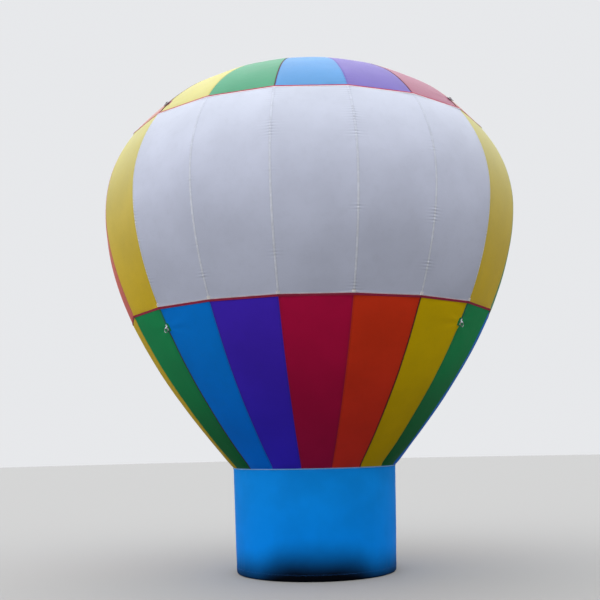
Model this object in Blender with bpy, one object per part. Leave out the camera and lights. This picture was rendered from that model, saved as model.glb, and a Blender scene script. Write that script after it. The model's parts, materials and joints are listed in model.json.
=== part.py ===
"""Advertising sky balloon: a cold-air inflatable, 6 m tall, that stands on its own drum.

Metres, +Z up. The origin is on the balloon's axis at the floor. Angles around the axis
start at the front (-Y) and grow towards +X.
"""
import math
from bisect import bisect_left

import bmesh
import bpy
from mathutils import Matrix, Vector

# Driving dimensions of the envelope
TOTAL_HEIGHT = 6.0
BASE_HEIGHT = 1.197
BASE_BOTTOM_RADIUS = 0.922
NECK_RADIUS = 0.953
EQUATOR_RADIUS = 2.452
EQUATOR_HEIGHT = 4.149
LOWER_SEAM_HEIGHT = 2.916
UPPER_SEAM_HEIGHT = 5.070
NECK_FLARE = math.radians(41.3)
NECK_SWELL = 1.32
EQUATOR_SWELL = 0.878
DOME_EXPONENT = 2.02
WALL = 0.010
GAP = 0.0003

# Gores: one colour step each, the pattern turned a little towards +X
GORE_COUNT = 18
GORE_ANGLE = 2 * math.pi / GORE_COUNT
PATTERN_TURN = math.radians(1.55)
FACETS_PER_GORE = 2
SEAM_STAND = 1.008
LOWER_SPANS = 6
MIDDLE_SPANS = 7
CROWN_SPANS = 8
BANNER_REACH = 2
CURVE_STEPS = 200

# Crown patch over the tips of the gores
CROWN_HOLE_RADIUS = 0.06
CROWN_PATCH_RADIUS = 0.20
CROWN_PATCH_THICKNESS = 0.004
CROWN_PATCH_FACETS = 36

# Drum base
DRUM_FLOOR = 0.012
DRUM_HEM_ROUND = 0.02

# Seam tapes and their anchors
LOWER_TAPE_HALF_WIDTH = 0.015
UPPER_TAPE_HALF_WIDTH = 0.011
TAPE_THICKNESS = 0.003
ANCHOR_ANGLES = {
    "front_left": math.radians(-50),
    "front_right": math.radians(50),
    "back_right": math.radians(130),
    "back_left": math.radians(-130),
}
LOWER_DROP = 0.225
UPPER_RISE = 0.180
STRAP_HALF_WIDTH = 0.015
STRAP_INSET = 0.0005
STRAP_LAP = 0.003
STRAP_TAIL = 0.012
PIN_HEIGHT = 0.012
LOOP_RADIUS = 0.009
LOOP_HALF_WIDTH = 0.013
LOOP_SINK = 0.0022
RING_WIRE = 0.004
RING_BORE = 0.0045
RING_HALF_WIDTH = 0.030
RING_SHOULDER = 0.020
ROUND_FACETS = 16

# Blower behind the drum, on its centre line, with its shaft along X
BLOWER_CENTRE = Vector((0.0, 1.72, 0.285))
SCROLL_START = 0.150
SCROLL_END = 0.215
SCROLL_HALF_WIDTH = 0.105
SCROLL_WALL = 0.005
SCROLL_FACETS = 18
SPOUT_RADIUS = 0.100
SPOUT_START = BLOWER_CENTRE.y - SCROLL_START - 0.03
SPOUT_TIP = 1.330
SPOUT_HEIGHT = BLOWER_CENTRE.z - SCROLL_END + SPOUT_RADIUS + 2 * SCROLL_WALL
SPOUT_LAP = 0.020
INLET_RADIUS = 0.095
GUARD_BAR = 0.003
GUARD_SEAT = 0.004
MOTOR_RADIUS = 0.075
MOTOR_LENGTH = 0.150
MOTOR_LAP = 0.002
SHAFT_RADIUS = 0.009
SHAFT_CLEARANCE = 0.0005
SHAFT_DEPTH = 0.040
BORE_END_CLEARANCE = 0.005
FOOT_WIDTH = 0.030
FOOT_LENGTH = 0.360
FOOT_INSET = 0.004
HANDLE_RADIUS = 0.010
HANDLE_LENGTH = 0.150
HANDLE_RISE = 0.055
POST_HALF = 0.008
POST_INSET = 0.015
POST_SINK = 0.012
DUCT_FACETS = 32
CAN_FACETS = 24

# Blower wheel
WHEEL_RADIUS = 0.125
WHEEL_HALF_WIDTH = 0.080
WHEEL_DISC = 0.005
WHEEL_RIM = 0.020
BLADE_COUNT = 16
BLADE_THICKNESS = 0.003
BLADE_PITCH = math.radians(35)
BLADE_LENGTH = 2 * WHEEL_HALF_WIDTH - 0.003
BLADE_DEPTH = WHEEL_RIM - 0.004
BLADE_SEAT = WHEEL_RADIUS - WHEEL_RIM / 2 - 0.001
HUB_RADIUS = 0.026
HUB_START = -WHEEL_HALF_WIDTH - 0.006
HUB_END = 0.045 - WHEEL_HALF_WIDTH

# Inflation sleeve from the blower's spout into the drum
SLEEVE_TIP = 1.420
SLEEVE_ROOT = 0.900

COLOUR_CYCLE = ("green", "blue", "purple", "crimson", "orange", "yellow")
COLOURS = {
    "green": (0.010, 0.160, 0.045),
    "blue": (0.000, 0.105, 0.480),
    "purple": (0.040, 0.015, 0.320),
    "crimson": (0.250, 0.003, 0.028),
    "orange": (0.380, 0.020, 0.008),
    "yellow": (0.560, 0.370, 0.005),
    "white": (0.760, 0.780, 0.820),
    "drum blue": (0.003, 0.180, 0.640),
    "dark red": (0.110, 0.006, 0.012),
    "steel": (0.550, 0.560, 0.580),
    "blower plastic": (0.020, 0.022, 0.025),
    "wheel plastic": (0.060, 0.060, 0.062),
}


def clear_scene():
    for old in list(bpy.data.objects):
        bpy.data.objects.remove(old, do_unlink=True)


def material(name, roughness=0.55, metallic=0.0):
    """A plain Principled material, made once for each colour name."""
    found = bpy.data.materials.get(name)
    if found:
        return found
    made = bpy.data.materials.new(name)
    made.use_nodes = True
    shader = made.node_tree.nodes["Principled BSDF"]
    shader.inputs["Base Color"].default_value = (*COLOURS[name], 1.0)
    shader.inputs["Roughness"].default_value = roughness
    shader.inputs["Metallic"].default_value = metallic
    made.diffuse_color = (*COLOURS[name], 1.0)
    return made


def add_object(name, bm, paint=None):
    """Turn a bmesh into an object with outward faces."""
    bmesh.ops.recalc_face_normals(bm, faces=bm.faces)
    mesh = bpy.data.meshes.new(name)
    bm.to_mesh(mesh)
    bm.free()
    made = bpy.data.objects.new(name, mesh)
    bpy.context.collection.objects.link(made)
    if paint:
        mesh.materials.append(paint)
    return made


def smooth(target, degrees=35):
    target.data.shade_smooth()
    target.data.set_sharp_from_angle(angle=math.radians(degrees))


def tool_object(name, bm):
    """A shape that only cuts or joins another one."""
    made = add_object(name, bm)
    made.hide_render = True
    made.display_type = "WIRE"
    return made


def combine(target, operand, operation):
    step = target.modifiers.new(operand.name, "BOOLEAN")
    step.operation = operation
    step.object = operand
    step.solver = "EXACT"


# Envelope profile: radius and height along the outer surface

def lower_curve(t):
    """From the neck (0) to the equator (1)."""
    neck = Vector((NECK_RADIUS, BASE_HEIGHT))
    flare = neck + NECK_SWELL * Vector((math.sin(NECK_FLARE), math.cos(NECK_FLARE)))
    equator = Vector((EQUATOR_RADIUS, EQUATOR_HEIGHT))
    below = equator - Vector((0.0, EQUATOR_SWELL))
    s = 1 - t
    return s ** 3 * neck + 3 * s * s * t * flare + 3 * s * t * t * below + t ** 3 * equator


def dome_curve(t):
    """From the equator (0) to the pole (1), close to a quarter of an ellipse."""
    turn = t * math.pi / 2
    power = 2 / DOME_EXPONENT
    radius = EQUATOR_RADIUS * max(math.cos(turn), 0.0) ** power
    rise = (TOTAL_HEIGHT - EQUATOR_HEIGHT) * math.sin(turn) ** power
    return Vector((radius, EQUATOR_HEIGHT + rise))


def trace_profile():
    points = [lower_curve(i / CURVE_STEPS) for i in range(CURVE_STEPS + 1)]
    points += [dome_curve(i / CURVE_STEPS) for i in range(1, CURVE_STEPS + 1)]
    lengths = [0.0]
    for start, end in zip(points, points[1:]):
        lengths.append(lengths[-1] + (end - start).length)
    return points, lengths


PROFILE, LENGTHS = trace_profile()


def profile_at(length):
    """Point and outward normal of the outer surface at a length from the neck."""
    index = min(max(bisect_left(LENGTHS, length), 1), len(LENGTHS) - 1)
    start, end = PROFILE[index - 1], PROFILE[index]
    share = (length - LENGTHS[index - 1]) / (LENGTHS[index] - LENGTHS[index - 1])
    tangent = (end - start).normalized()
    return start.lerp(end, share), Vector((tangent.y, -tangent.x))


def first_index(test):
    """Index of the first profile point, counted from the neck, that passes the test."""
    return next(i for i, point in enumerate(PROFILE) if test(point))


def length_at_height(height):
    index = first_index(lambda point: point.y >= height)
    start, end = PROFILE[index - 1], PROFILE[index]
    share = (height - start.y) / (end.y - start.y)
    return LENGTHS[index - 1] + share * (LENGTHS[index] - LENGTHS[index - 1])


def length_at_dome_radius(radius):
    index = first_index(lambda point: point.y > EQUATOR_HEIGHT and point.x <= radius)
    start, end = PROFILE[index - 1], PROFILE[index]
    share = (start.x - radius) / (start.x - end.x)
    return LENGTHS[index - 1] + share * (LENGTHS[index] - LENGTHS[index - 1])


LOWER_SEAM = length_at_height(LOWER_SEAM_HEIGHT)
UPPER_SEAM = length_at_height(UPPER_SEAM_HEIGHT)
CROWN_END = length_at_dome_radius(CROWN_HOLE_RADIUS)


def flat_share(angle):
    """Gores are flat across: the seams stand out from the profile and the middles lie in."""
    across = (angle / GORE_ANGLE + 0.5) % 1.0 - 0.5
    return SEAM_STAND * math.cos(GORE_ANGLE / 2) / math.cos(across * GORE_ANGLE)


def place(angle, radius, height):
    """World point at an angle of the colour pattern, on the flat of its gore."""
    turn = angle + PATTERN_TURN
    reach = radius * flat_share(angle)
    return Vector((reach * math.sin(turn), -reach * math.cos(turn), height))


def tier_rows(start, end, spans):
    """Rows of a tier, half a gap inside its two ends."""
    first = start + GAP / 2
    last = end - GAP / 2
    return [profile_at(first + (last - first) * i / spans) for i in range(spans + 1)]


LOWER_ROWS = tier_rows(0.0, LOWER_SEAM, LOWER_SPANS)
MIDDLE_ROWS = tier_rows(LOWER_SEAM, UPPER_SEAM, MIDDLE_SPANS)
CROWN_ROWS = tier_rows(UPPER_SEAM, CROWN_END, CROWN_SPANS)


def skin_grid(bm, rows, depth, first_edge, last_edge, columns):
    """One skin of a panel, half a gap inside its two seams."""
    grid = []
    for point, normal in rows:
        spot = point - depth * normal
        trim = GAP / 2 / spot.x
        width = last_edge - first_edge - 2 * trim
        angles = [first_edge + trim + width * i / columns for i in range(columns + 1)]
        grid.append([bm.verts.new(place(angle, spot.x, spot.y)) for angle in angles])
    return grid


def bridge(bm, first, second):
    for i in range(len(first) - 1):
        bm.faces.new((first[i], first[i + 1], second[i + 1], second[i]))


def add_panel(name, colour, rows, first_gore, last_gore):
    """A fabric panel as a shell: two skins and the four edges that join them."""
    first_edge = (first_gore - 0.5) * GORE_ANGLE
    last_edge = (last_gore + 0.5) * GORE_ANGLE
    columns = FACETS_PER_GORE * (last_gore - first_gore + 1)
    bm = bmesh.new()
    outer = skin_grid(bm, rows, 0.0, first_edge, last_edge, columns)
    inner = skin_grid(bm, rows, WALL, first_edge, last_edge, columns)
    for grid in (outer, inner):
        for lower, upper in zip(grid, grid[1:]):
            bridge(bm, lower, upper)
    bridge(bm, outer[0], inner[0])
    bridge(bm, outer[-1], inner[-1])
    bridge(bm, [row[0] for row in outer], [row[0] for row in inner])
    bridge(bm, [row[-1] for row in outer], [row[-1] for row in inner])
    panel = add_object(name, bm, material(colour))
    smooth(panel)
    return panel


def cycle_colour(gore, shift):
    return COLOUR_CYCLE[(gore + shift) % len(COLOUR_CYCLE)]


def gore_label(gore):
    """Gore numbers run from 0 at the front round to 17, counted towards +X."""
    return f"{gore % GORE_COUNT:02d}"


def add_gores():
    for gore in range(GORE_COUNT):
        colour = cycle_colour(gore, 3)
        add_panel(f"lower_gore_{gore_label(gore)}", colour, LOWER_ROWS, gore, gore)
        signed = gore if gore <= GORE_COUNT // 2 else gore - GORE_COUNT
        colour = cycle_colour(signed, 1)
        add_panel(f"crown_gore_{gore_label(gore)}", colour, CROWN_ROWS, gore, gore)
    side = GORE_COUNT // 2 - BANNER_REACH
    for gore in range(BANNER_REACH + 1, side):
        for signed in (gore, -gore):
            colour = cycle_colour(signed, 2)
            add_panel(f"side_gore_{gore_label(signed)}", colour, MIDDLE_ROWS, signed, signed)
    add_panel("front_banner", "white", MIDDLE_ROWS, -BANNER_REACH, BANNER_REACH)
    add_panel("back_banner", "white", MIDDLE_ROWS, side, GORE_COUNT - side)


def turned_solid(bm, section, facets):
    """A closed ring of quads from a section of (radius, height) points."""
    rings = []
    for i in range(facets):
        angle = 2 * math.pi * i / facets
        rings.append([bm.verts.new(place(angle, point[0], point[1])) for point in section])
    for i in range(facets):
        here, following = rings[i], rings[(i + 1) % facets]
        for j in range(len(section)):
            k = (j + 1) % len(section)
            bm.faces.new((here[j], following[j], following[k], here[k]))


def turned_cup(bm, section, facets):
    """A solid of revolution whose first and last section points lie on the axis."""
    first = bm.verts.new((0.0, 0.0, section[0][1]))
    last = bm.verts.new((0.0, 0.0, section[-1][1]))
    rings = []
    for radius, height in section[1:-1]:
        angles = [2 * math.pi * i / facets for i in range(facets)]
        rings.append([bm.verts.new(place(angle, radius, height)) for angle in angles])
    for lower, upper in zip(rings, rings[1:]):
        bridge(bm, lower + lower[:1], upper + upper[:1])
    for i in range(facets):
        k = (i + 1) % facets
        bm.faces.new((first, rings[0][k], rings[0][i]))
        bm.faces.new((last, rings[-1][i], rings[-1][k]))


def cylinder_along_x(bm, radius, start, end, y, z, facets=ROUND_FACETS):
    turn = Matrix.Rotation(math.pi / 2, 4, "Y")
    middle = Matrix.Translation(((start + end) / 2, y, z))
    bmesh.ops.create_cone(
        bm, cap_ends=True, segments=facets, radius1=radius, radius2=radius,
        depth=end - start, matrix=middle @ turn)


def cylinder_along_y(bm, radius, start, end, x, z, facets=ROUND_FACETS):
    turn = Matrix.Rotation(math.pi / 2, 4, "X")
    middle = Matrix.Translation((x, (start + end) / 2, z))
    bmesh.ops.create_cone(
        bm, cap_ends=True, segments=facets, radius1=radius, radius2=radius,
        depth=end - start, matrix=middle @ turn)


def box(bm, low, high):
    middle = Matrix.Translation((Vector(high) + Vector(low)) / 2)
    size = Matrix.Diagonal((*(Vector(high) - Vector(low)), 1.0))
    bmesh.ops.create_cube(bm, size=1.0, matrix=middle @ size)


def extrude_outline(bm, outline, start, end, frame=Matrix.Identity(4)):
    """A prism along local X from an outline of (y, z) points."""
    near = [bm.verts.new(frame @ Vector((start, y, z))) for y, z in outline]
    far = [bm.verts.new(frame @ Vector((end, y, z))) for y, z in outline]
    bm.faces.new(near)
    bm.faces.new(list(reversed(far)))
    bridge(bm, near + near[:1], far + far[:1])


# Seam tapes, with four straps on each that end in a webbing loop

def outward(direction):
    """Outward normal of a profile chord, given a direction along it."""
    normal = Vector((direction.y, -direction.x))
    return normal if normal.x > 0 else -normal


def tape_section(seam, half_width, row_below, row_above):
    """Six points: the tape's inner face and outer face across the seam."""
    point, normal = profile_at(seam)
    down = (row_below - point).normalized()
    up = (row_above - point).normalized()
    sides = (
        (point + half_width * down, outward(down)),
        (point, normal),
        (point + half_width * up, outward(up)),
    )
    inner = [spot + GAP * away for spot, away in sides]
    outer = [spot + (GAP + TAPE_THICKNESS) * away for spot, away in sides]
    return inner + outer[::-1]


# Each tier's anchors: their seam, the next row of the panels and the way from one to the other
LOWER_ANCHOR = (LOWER_SEAM, LOWER_ROWS[-2][0], LOWER_DROP)
UPPER_ANCHOR = (UPPER_SEAM, CROWN_ROWS[1][0], UPPER_RISE)


def anchor_frame(anchor, angle):
    """Local X is the pin, local Y points down the surface, local Z points away from it."""
    seam, row, distance = anchor
    point, _ = profile_at(seam)
    along = (row - point).normalized()
    normal = outward(along)
    point = point + distance * along
    turn = angle + PATTERN_TURN
    radial = Vector((math.sin(turn), -math.cos(turn), 0.0))
    pin = Vector((-math.cos(turn), -math.sin(turn), 0.0))
    away = normal.x * radial + Vector((0.0, 0.0, normal.y))
    down = away.cross(pin)
    lift = GAP + TAPE_THICKNESS + PIN_HEIGHT
    origin = place(angle, point.x, point.y) + lift * away
    frame = Matrix((pin, down, away)).transposed().to_4x4()
    return Matrix.Translation(origin) @ frame


def loop_outline():
    """A webbing loop's end view: straight sides on the tape and a round top."""
    foot = -PIN_HEIGHT - LOOP_SINK
    steps = ROUND_FACETS // 2
    arc = [math.pi * i / steps for i in range(steps + 1)]
    top = [(LOOP_RADIUS * math.cos(a), LOOP_RADIUS * math.sin(a)) for a in arc]
    return [(-LOOP_RADIUS, foot), (LOOP_RADIUS, foot)] + top


def strap_outline(frame):
    """A strap's end view over a seam's ridge: local Y across it and Z away from the cloth."""
    foot = -PIN_HEIGHT - TAPE_THICKNESS + STRAP_INSET
    top = -PIN_HEIGHT - STRAP_INSET
    level = frame.col[2].to_2d().length
    fall = STRAP_HALF_WIDTH * math.tan(GORE_ANGLE / 2) * level
    under = [(-STRAP_HALF_WIDTH, foot - fall), (0.0, foot), (STRAP_HALF_WIDTH, foot - fall)]
    over = [(STRAP_HALF_WIDTH, top - fall), (0.0, top), (-STRAP_HALF_WIDTH, top - fall)]
    return under + over


def add_seam_tape(name, anchor, half_width, row_below, row_above):
    seam, row, distance = anchor
    bm = bmesh.new()
    section = tape_section(seam, half_width, row_below, row_above)
    turned_solid(bm, section, GORE_COUNT * FACETS_PER_GORE)
    tape = add_object(name, bm, material("dark red"))
    turns = [2 * math.pi * i / ROUND_FACETS for i in range(ROUND_FACETS)]
    bore = [(RING_BORE * math.cos(a), RING_BORE * math.sin(a)) for a in turns]
    straps = bmesh.new()
    loops = bmesh.new()
    bores = bmesh.new()
    reach = distance - half_width + STRAP_LAP
    ends = (-reach, STRAP_TAIL) if row is row_below else (-STRAP_TAIL, reach)
    for angle in ANCHOR_ANGLES.values():
        frame = anchor_frame(anchor, angle)
        down_the_cloth = frame @ Matrix.Rotation(math.pi / 2, 4, "Z")
        extrude_outline(straps, strap_outline(frame), *ends, down_the_cloth)
        extrude_outline(loops, loop_outline(), -LOOP_HALF_WIDTH, LOOP_HALF_WIDTH, frame)
        extrude_outline(bores, bore, -2 * LOOP_HALF_WIDTH, 2 * LOOP_HALF_WIDTH, frame)
    combine(tape, tool_object(f"{name}_straps", straps), "UNION")
    combine(tape, tool_object(f"{name}_loops", loops), "UNION")
    combine(tape, tool_object(f"{name}_bores", bores), "DIFFERENCE")
    smooth(tape)


def ring_outline():
    """A D: the pin along X at 0, two shoulders and half a circle below."""
    steps = ROUND_FACETS // 2
    bow = []
    for i in range(steps + 1):
        a = math.pi * i / steps
        bow.append((RING_HALF_WIDTH * math.cos(a), RING_SHOULDER + RING_HALF_WIDTH * math.sin(a)))
    return [(-RING_HALF_WIDTH, 0.0), (RING_HALF_WIDTH, 0.0)] + bow


def sweep_closed(bm, outline, radius, sides):
    """A round wire along a closed flat outline in local X and Y, mitred at its corners."""
    count = len(outline)
    rings = []
    for i in range(count):
        here = Vector(outline[i])
        ahead = (Vector(outline[(i + 1) % count]) - here).normalized()
        behind = (here - Vector(outline[i - 1])).normalized()
        along = (ahead + behind).normalized()
        across = Vector((along.y, -along.x)) / along.dot(ahead)
        ring = []
        for j in range(sides):
            a = 2 * math.pi * (j + 0.5) / sides
            flat = here + radius * math.cos(a) * across
            ring.append(bm.verts.new((flat.x, flat.y, radius * math.sin(a))))
        rings.append(ring)
    for i in range(count):
        near, far = rings[i], rings[(i + 1) % count]
        bridge(bm, near + near[:1], far + far[:1])


def add_anchor_rings(tier, anchor, hangs_free):
    """D-rings in the loops: free ones hang straight down, the others lie along the slope."""
    for label, angle in ANCHOR_ANGLES.items():
        bm = bmesh.new()
        sweep_closed(bm, ring_outline(), RING_WIRE, 8)
        ring = add_object(f"{tier}_ring_{label}", bm, material("steel", 0.3, 1.0))
        smooth(ring)
        frame = anchor_frame(anchor, angle)
        if hangs_free:
            pin = frame.col[0].to_3d()
            down = Vector((0.0, 0.0, -1.0))
            upright = Matrix((pin, down, pin.cross(down))).transposed().to_4x4()
            frame = Matrix.Translation(frame.translation) @ upright
        ring.matrix_world = frame


def add_seam_tapes():
    add_seam_tape("lower_seam_tape", LOWER_ANCHOR, LOWER_TAPE_HALF_WIDTH,
                  LOWER_ROWS[-2][0], MIDDLE_ROWS[1][0])
    add_seam_tape("upper_seam_tape", UPPER_ANCHOR, UPPER_TAPE_HALF_WIDTH,
                  MIDDLE_ROWS[-2][0], CROWN_ROWS[1][0])
    add_anchor_rings("lower", LOWER_ANCHOR, True)
    add_anchor_rings("upper", UPPER_ANCHOR, False)


def add_crown_patch():
    """A round patch that lies on the last facets of the crown gores."""
    tip, inboard = CROWN_ROWS[-1][0], CROWN_ROWS[-2][0]
    slope = (inboard - tip).normalized()
    reach = (CROWN_PATCH_RADIUS - tip.x) / slope.x
    edge = tip + reach * slope
    lift = Vector((0.0, 2 * GAP))
    rise = lift + Vector((0.0, CROWN_PATCH_THICKNESS))
    section = [
        (0.0, tip.y + lift.y),
        (tip.x, tip.y + lift.y),
        tuple(edge + lift),
        tuple(edge + rise),
        (tip.x, tip.y + rise.y),
        (0.0, tip.y + rise.y),
    ]
    bm = bmesh.new()
    turned_cup(bm, section, CROWN_PATCH_FACETS)
    smooth(add_object("crown_patch", bm, material("white")))


def add_drum():
    """Skirt and floor in one, with the inflation sleeve sewn in at the back."""
    top = BASE_HEIGHT - GAP
    section = [
        (0.0, 0.0),
        (BASE_BOTTOM_RADIUS - DRUM_HEM_ROUND, 0.0),
        (BASE_BOTTOM_RADIUS, DRUM_HEM_ROUND),
        (NECK_RADIUS, top),
        (NECK_RADIUS - WALL, top),
        (BASE_BOTTOM_RADIUS - WALL, DRUM_HEM_ROUND),
        (BASE_BOTTOM_RADIUS - DRUM_HEM_ROUND, DRUM_FLOOR),
        (0.0, DRUM_FLOOR),
    ]
    bm = bmesh.new()
    turned_cup(bm, section, GORE_COUNT * FACETS_PER_GORE)
    drum = add_object("drum", bm, material("drum blue"))
    bore = SPOUT_RADIUS + GAP
    sleeve = bmesh.new()
    cylinder_along_y(sleeve, bore + WALL, SLEEVE_ROOT, SLEEVE_TIP, 0.0, SPOUT_HEIGHT,
                     DUCT_FACETS)
    combine(drum, tool_object("sleeve_outside", sleeve), "UNION")
    hollow = bmesh.new()
    inside = SLEEVE_ROOT - 4 * WALL
    outside = SLEEVE_TIP + 4 * WALL
    cylinder_along_y(hollow, bore, inside, outside, 0.0, SPOUT_HEIGHT, DUCT_FACETS)
    combine(drum, tool_object("sleeve_inside", hollow), "DIFFERENCE")
    smooth(drum)


# Blower

def scroll_outline(inset):
    """Side view of the scroll as (y, z): it grows over the top and leaves at the bottom."""
    centre = BLOWER_CENTRE
    outline = []
    for i in range(SCROLL_FACETS + 1):
        share = i / SCROLL_FACETS
        turn = share * math.radians(270)
        radius = SCROLL_START + (SCROLL_END - SCROLL_START) * share - inset
        y = centre.y - radius * math.cos(turn)
        outline.append((y, centre.z + radius * math.sin(turn)))
    outlet = SPOUT_START + inset
    outline.append((outlet, centre.z - SCROLL_END + inset))
    outline.append((outlet, centre.z - inset))
    return outline


def add_blower():
    centre = BLOWER_CENTRE
    half = SCROLL_HALF_WIDTH
    bm = bmesh.new()
    extrude_outline(bm, scroll_outline(0.0), -half, half)
    housing = add_object("blower_housing", bm, material("blower plastic", 0.45))

    spout = bmesh.new()
    cylinder_along_y(spout, SPOUT_RADIUS, SPOUT_TIP, SPOUT_START + SPOUT_LAP, 0.0,
                     SPOUT_HEIGHT, DUCT_FACETS)
    combine(housing, tool_object("spout_outside", spout), "UNION")
    motor = bmesh.new()
    cylinder_along_x(motor, MOTOR_RADIUS, -half - MOTOR_LENGTH, MOTOR_LAP - half, centre.y,
                     centre.z, CAN_FACETS)
    combine(housing, tool_object("motor_can", motor), "UNION")
    add_blower_feet(housing)

    hollow = bmesh.new()
    extrude_outline(hollow, scroll_outline(SCROLL_WALL), SCROLL_WALL - half, half - SCROLL_WALL)
    combine(housing, tool_object("scroll_inside", hollow), "DIFFERENCE")
    bore = bmesh.new()
    cylinder_along_y(bore, SPOUT_RADIUS - SCROLL_WALL, SPOUT_TIP - SPOUT_LAP,
                     SPOUT_START + 1.5 * SPOUT_LAP, 0.0, SPOUT_HEIGHT, DUCT_FACETS)
    combine(housing, tool_object("spout_inside", bore), "DIFFERENCE")
    inlet = bmesh.new()
    cylinder_along_x(inlet, INLET_RADIUS, half - 4 * SCROLL_WALL, half + 4 * SCROLL_WALL,
                     centre.y, centre.z, CAN_FACETS)
    combine(housing, tool_object("inlet", inlet), "DIFFERENCE")
    shaft = bmesh.new()
    cylinder_along_x(shaft, SHAFT_RADIUS + SHAFT_CLEARANCE,
                     -half - SHAFT_DEPTH - BORE_END_CLEARANCE, 0.0, centre.y, centre.z)
    combine(housing, tool_object("shaft_bore", shaft), "DIFFERENCE")

    add_inlet_guard(housing)
    add_blower_handle(housing)
    smooth(housing)


def add_blower_feet(housing):
    """Two long feet along the scroll's lower edges."""
    feet = bmesh.new()
    top = BLOWER_CENTRE.z - SCROLL_END + SPOUT_LAP
    outer = SCROLL_HALF_WIDTH - FOOT_INSET
    for low, high in ((-outer, FOOT_WIDTH - outer), (outer - FOOT_WIDTH, outer)):
        box(feet, (low, BLOWER_CENTRE.y - FOOT_LENGTH / 2, 0.0),
            (high, BLOWER_CENTRE.y + FOOT_LENGTH / 2, top))
    combine(housing, tool_object("feet", feet), "UNION")


def add_inlet_guard(housing):
    """Two crossed bars over the inlet, let into the scroll's wall."""
    centre = BLOWER_CENTRE
    reach = INLET_RADIUS + GUARD_SEAT
    inside = SCROLL_HALF_WIDTH - SCROLL_WALL + 0.001
    outside = SCROLL_HALF_WIDTH - 0.001
    level = bmesh.new()
    box(level, (inside, centre.y - reach, centre.z - GUARD_BAR),
        (outside, centre.y + reach, centre.z + GUARD_BAR))
    combine(housing, tool_object("guard_bar_level", level), "UNION")
    upright = bmesh.new()
    step = GUARD_BAR / 6
    box(upright, (inside + step, centre.y - GUARD_BAR, centre.z - reach),
        (outside - step, centre.y + GUARD_BAR, centre.z + reach))
    combine(housing, tool_object("guard_bar_upright", upright), "UNION")


def add_blower_handle(housing):
    """A round grip over the scroll on two posts."""
    top = BLOWER_CENTRE.z + SCROLL_START + (SCROLL_END - SCROLL_START) / 3
    grip = top + HANDLE_RISE
    half = HANDLE_LENGTH / 2
    middle = BLOWER_CENTRE.y
    posts = bmesh.new()
    for side in (-1, 1):
        spot = middle + side * (half - POST_INSET)
        box(posts, (-HANDLE_RADIUS, spot - POST_HALF, top - POST_SINK),
            (HANDLE_RADIUS, spot + POST_HALF, grip))
    combine(housing, tool_object("handle_posts", posts), "UNION")
    bar = bmesh.new()
    cylinder_along_y(bar, HANDLE_RADIUS, middle - half, middle + half, 0.0, grip)
    combine(housing, tool_object("handle_grip", bar), "UNION")


# Blower wheel

def blade_matrix(turn):
    """Places a unit cube as one blade, leaning from the radius by its pitch."""
    around = Matrix.Rotation(turn, 4, "X")
    seat = Matrix.Translation((0.0, 0.0, BLADE_SEAT))
    pitch = Matrix.Rotation(BLADE_PITCH, 4, "X")
    size = Matrix.Diagonal((BLADE_LENGTH, BLADE_THICKNESS, BLADE_DEPTH, 1.0))
    return around @ seat @ pitch @ size


def add_wheel():
    """Squirrel-cage wheel: a back disc, blades, a front rim, a hub and the shaft."""
    half = WHEEL_HALF_WIDTH
    bm = bmesh.new()
    cylinder_along_x(bm, WHEEL_RADIUS, -half, WHEEL_DISC - half, 0.0, 0.0, DUCT_FACETS)
    wheel = add_object("blower_wheel", bm, material("wheel plastic", 0.5))
    blades = bmesh.new()
    for i in range(BLADE_COUNT):
        turn = 2 * math.pi * i / BLADE_COUNT
        bmesh.ops.create_cube(blades, size=1.0, matrix=blade_matrix(turn))
    combine(wheel, tool_object("blades", blades), "UNION")
    rim = bmesh.new()
    inner = WHEEL_RADIUS - WHEEL_RIM
    face = half - WHEEL_DISC
    section = ((inner, face), (WHEEL_RADIUS, face), (WHEEL_RADIUS, half), (inner, half))
    turned_solid(rim, section, DUCT_FACETS)
    rim.transform(Matrix.Rotation(math.pi / 2, 4, "Y"))
    combine(wheel, tool_object("front_rim", rim), "UNION")
    hub = bmesh.new()
    cylinder_along_x(hub, HUB_RADIUS, HUB_START, HUB_END, 0.0, 0.0)
    combine(wheel, tool_object("hub", hub), "UNION")
    shaft = bmesh.new()
    cylinder_along_x(shaft, SHAFT_RADIUS, -SCROLL_HALF_WIDTH - SHAFT_DEPTH, -half, 0.0, 0.0)
    combine(wheel, tool_object("shaft", shaft), "UNION")
    smooth(wheel)
    wheel.location = BLOWER_CENTRE
    for tool in wheel.modifiers:
        tool.object.location = BLOWER_CENTRE


clear_scene()
add_gores()
add_seam_tapes()
add_crown_patch()
add_drum()
add_blower()
add_wheel()
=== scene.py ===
"""Looks of the advertising sky balloon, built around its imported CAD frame.

Metres, +Z up, with the balloon's axis at the origin. Angles around the axis start at the
front (-Y) and grow towards +X. Lengths along the envelope start at the neck.
"""

import json
import math
from bisect import bisect_left

import bmesh
import bpy
from mathutils import Matrix, Vector

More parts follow.
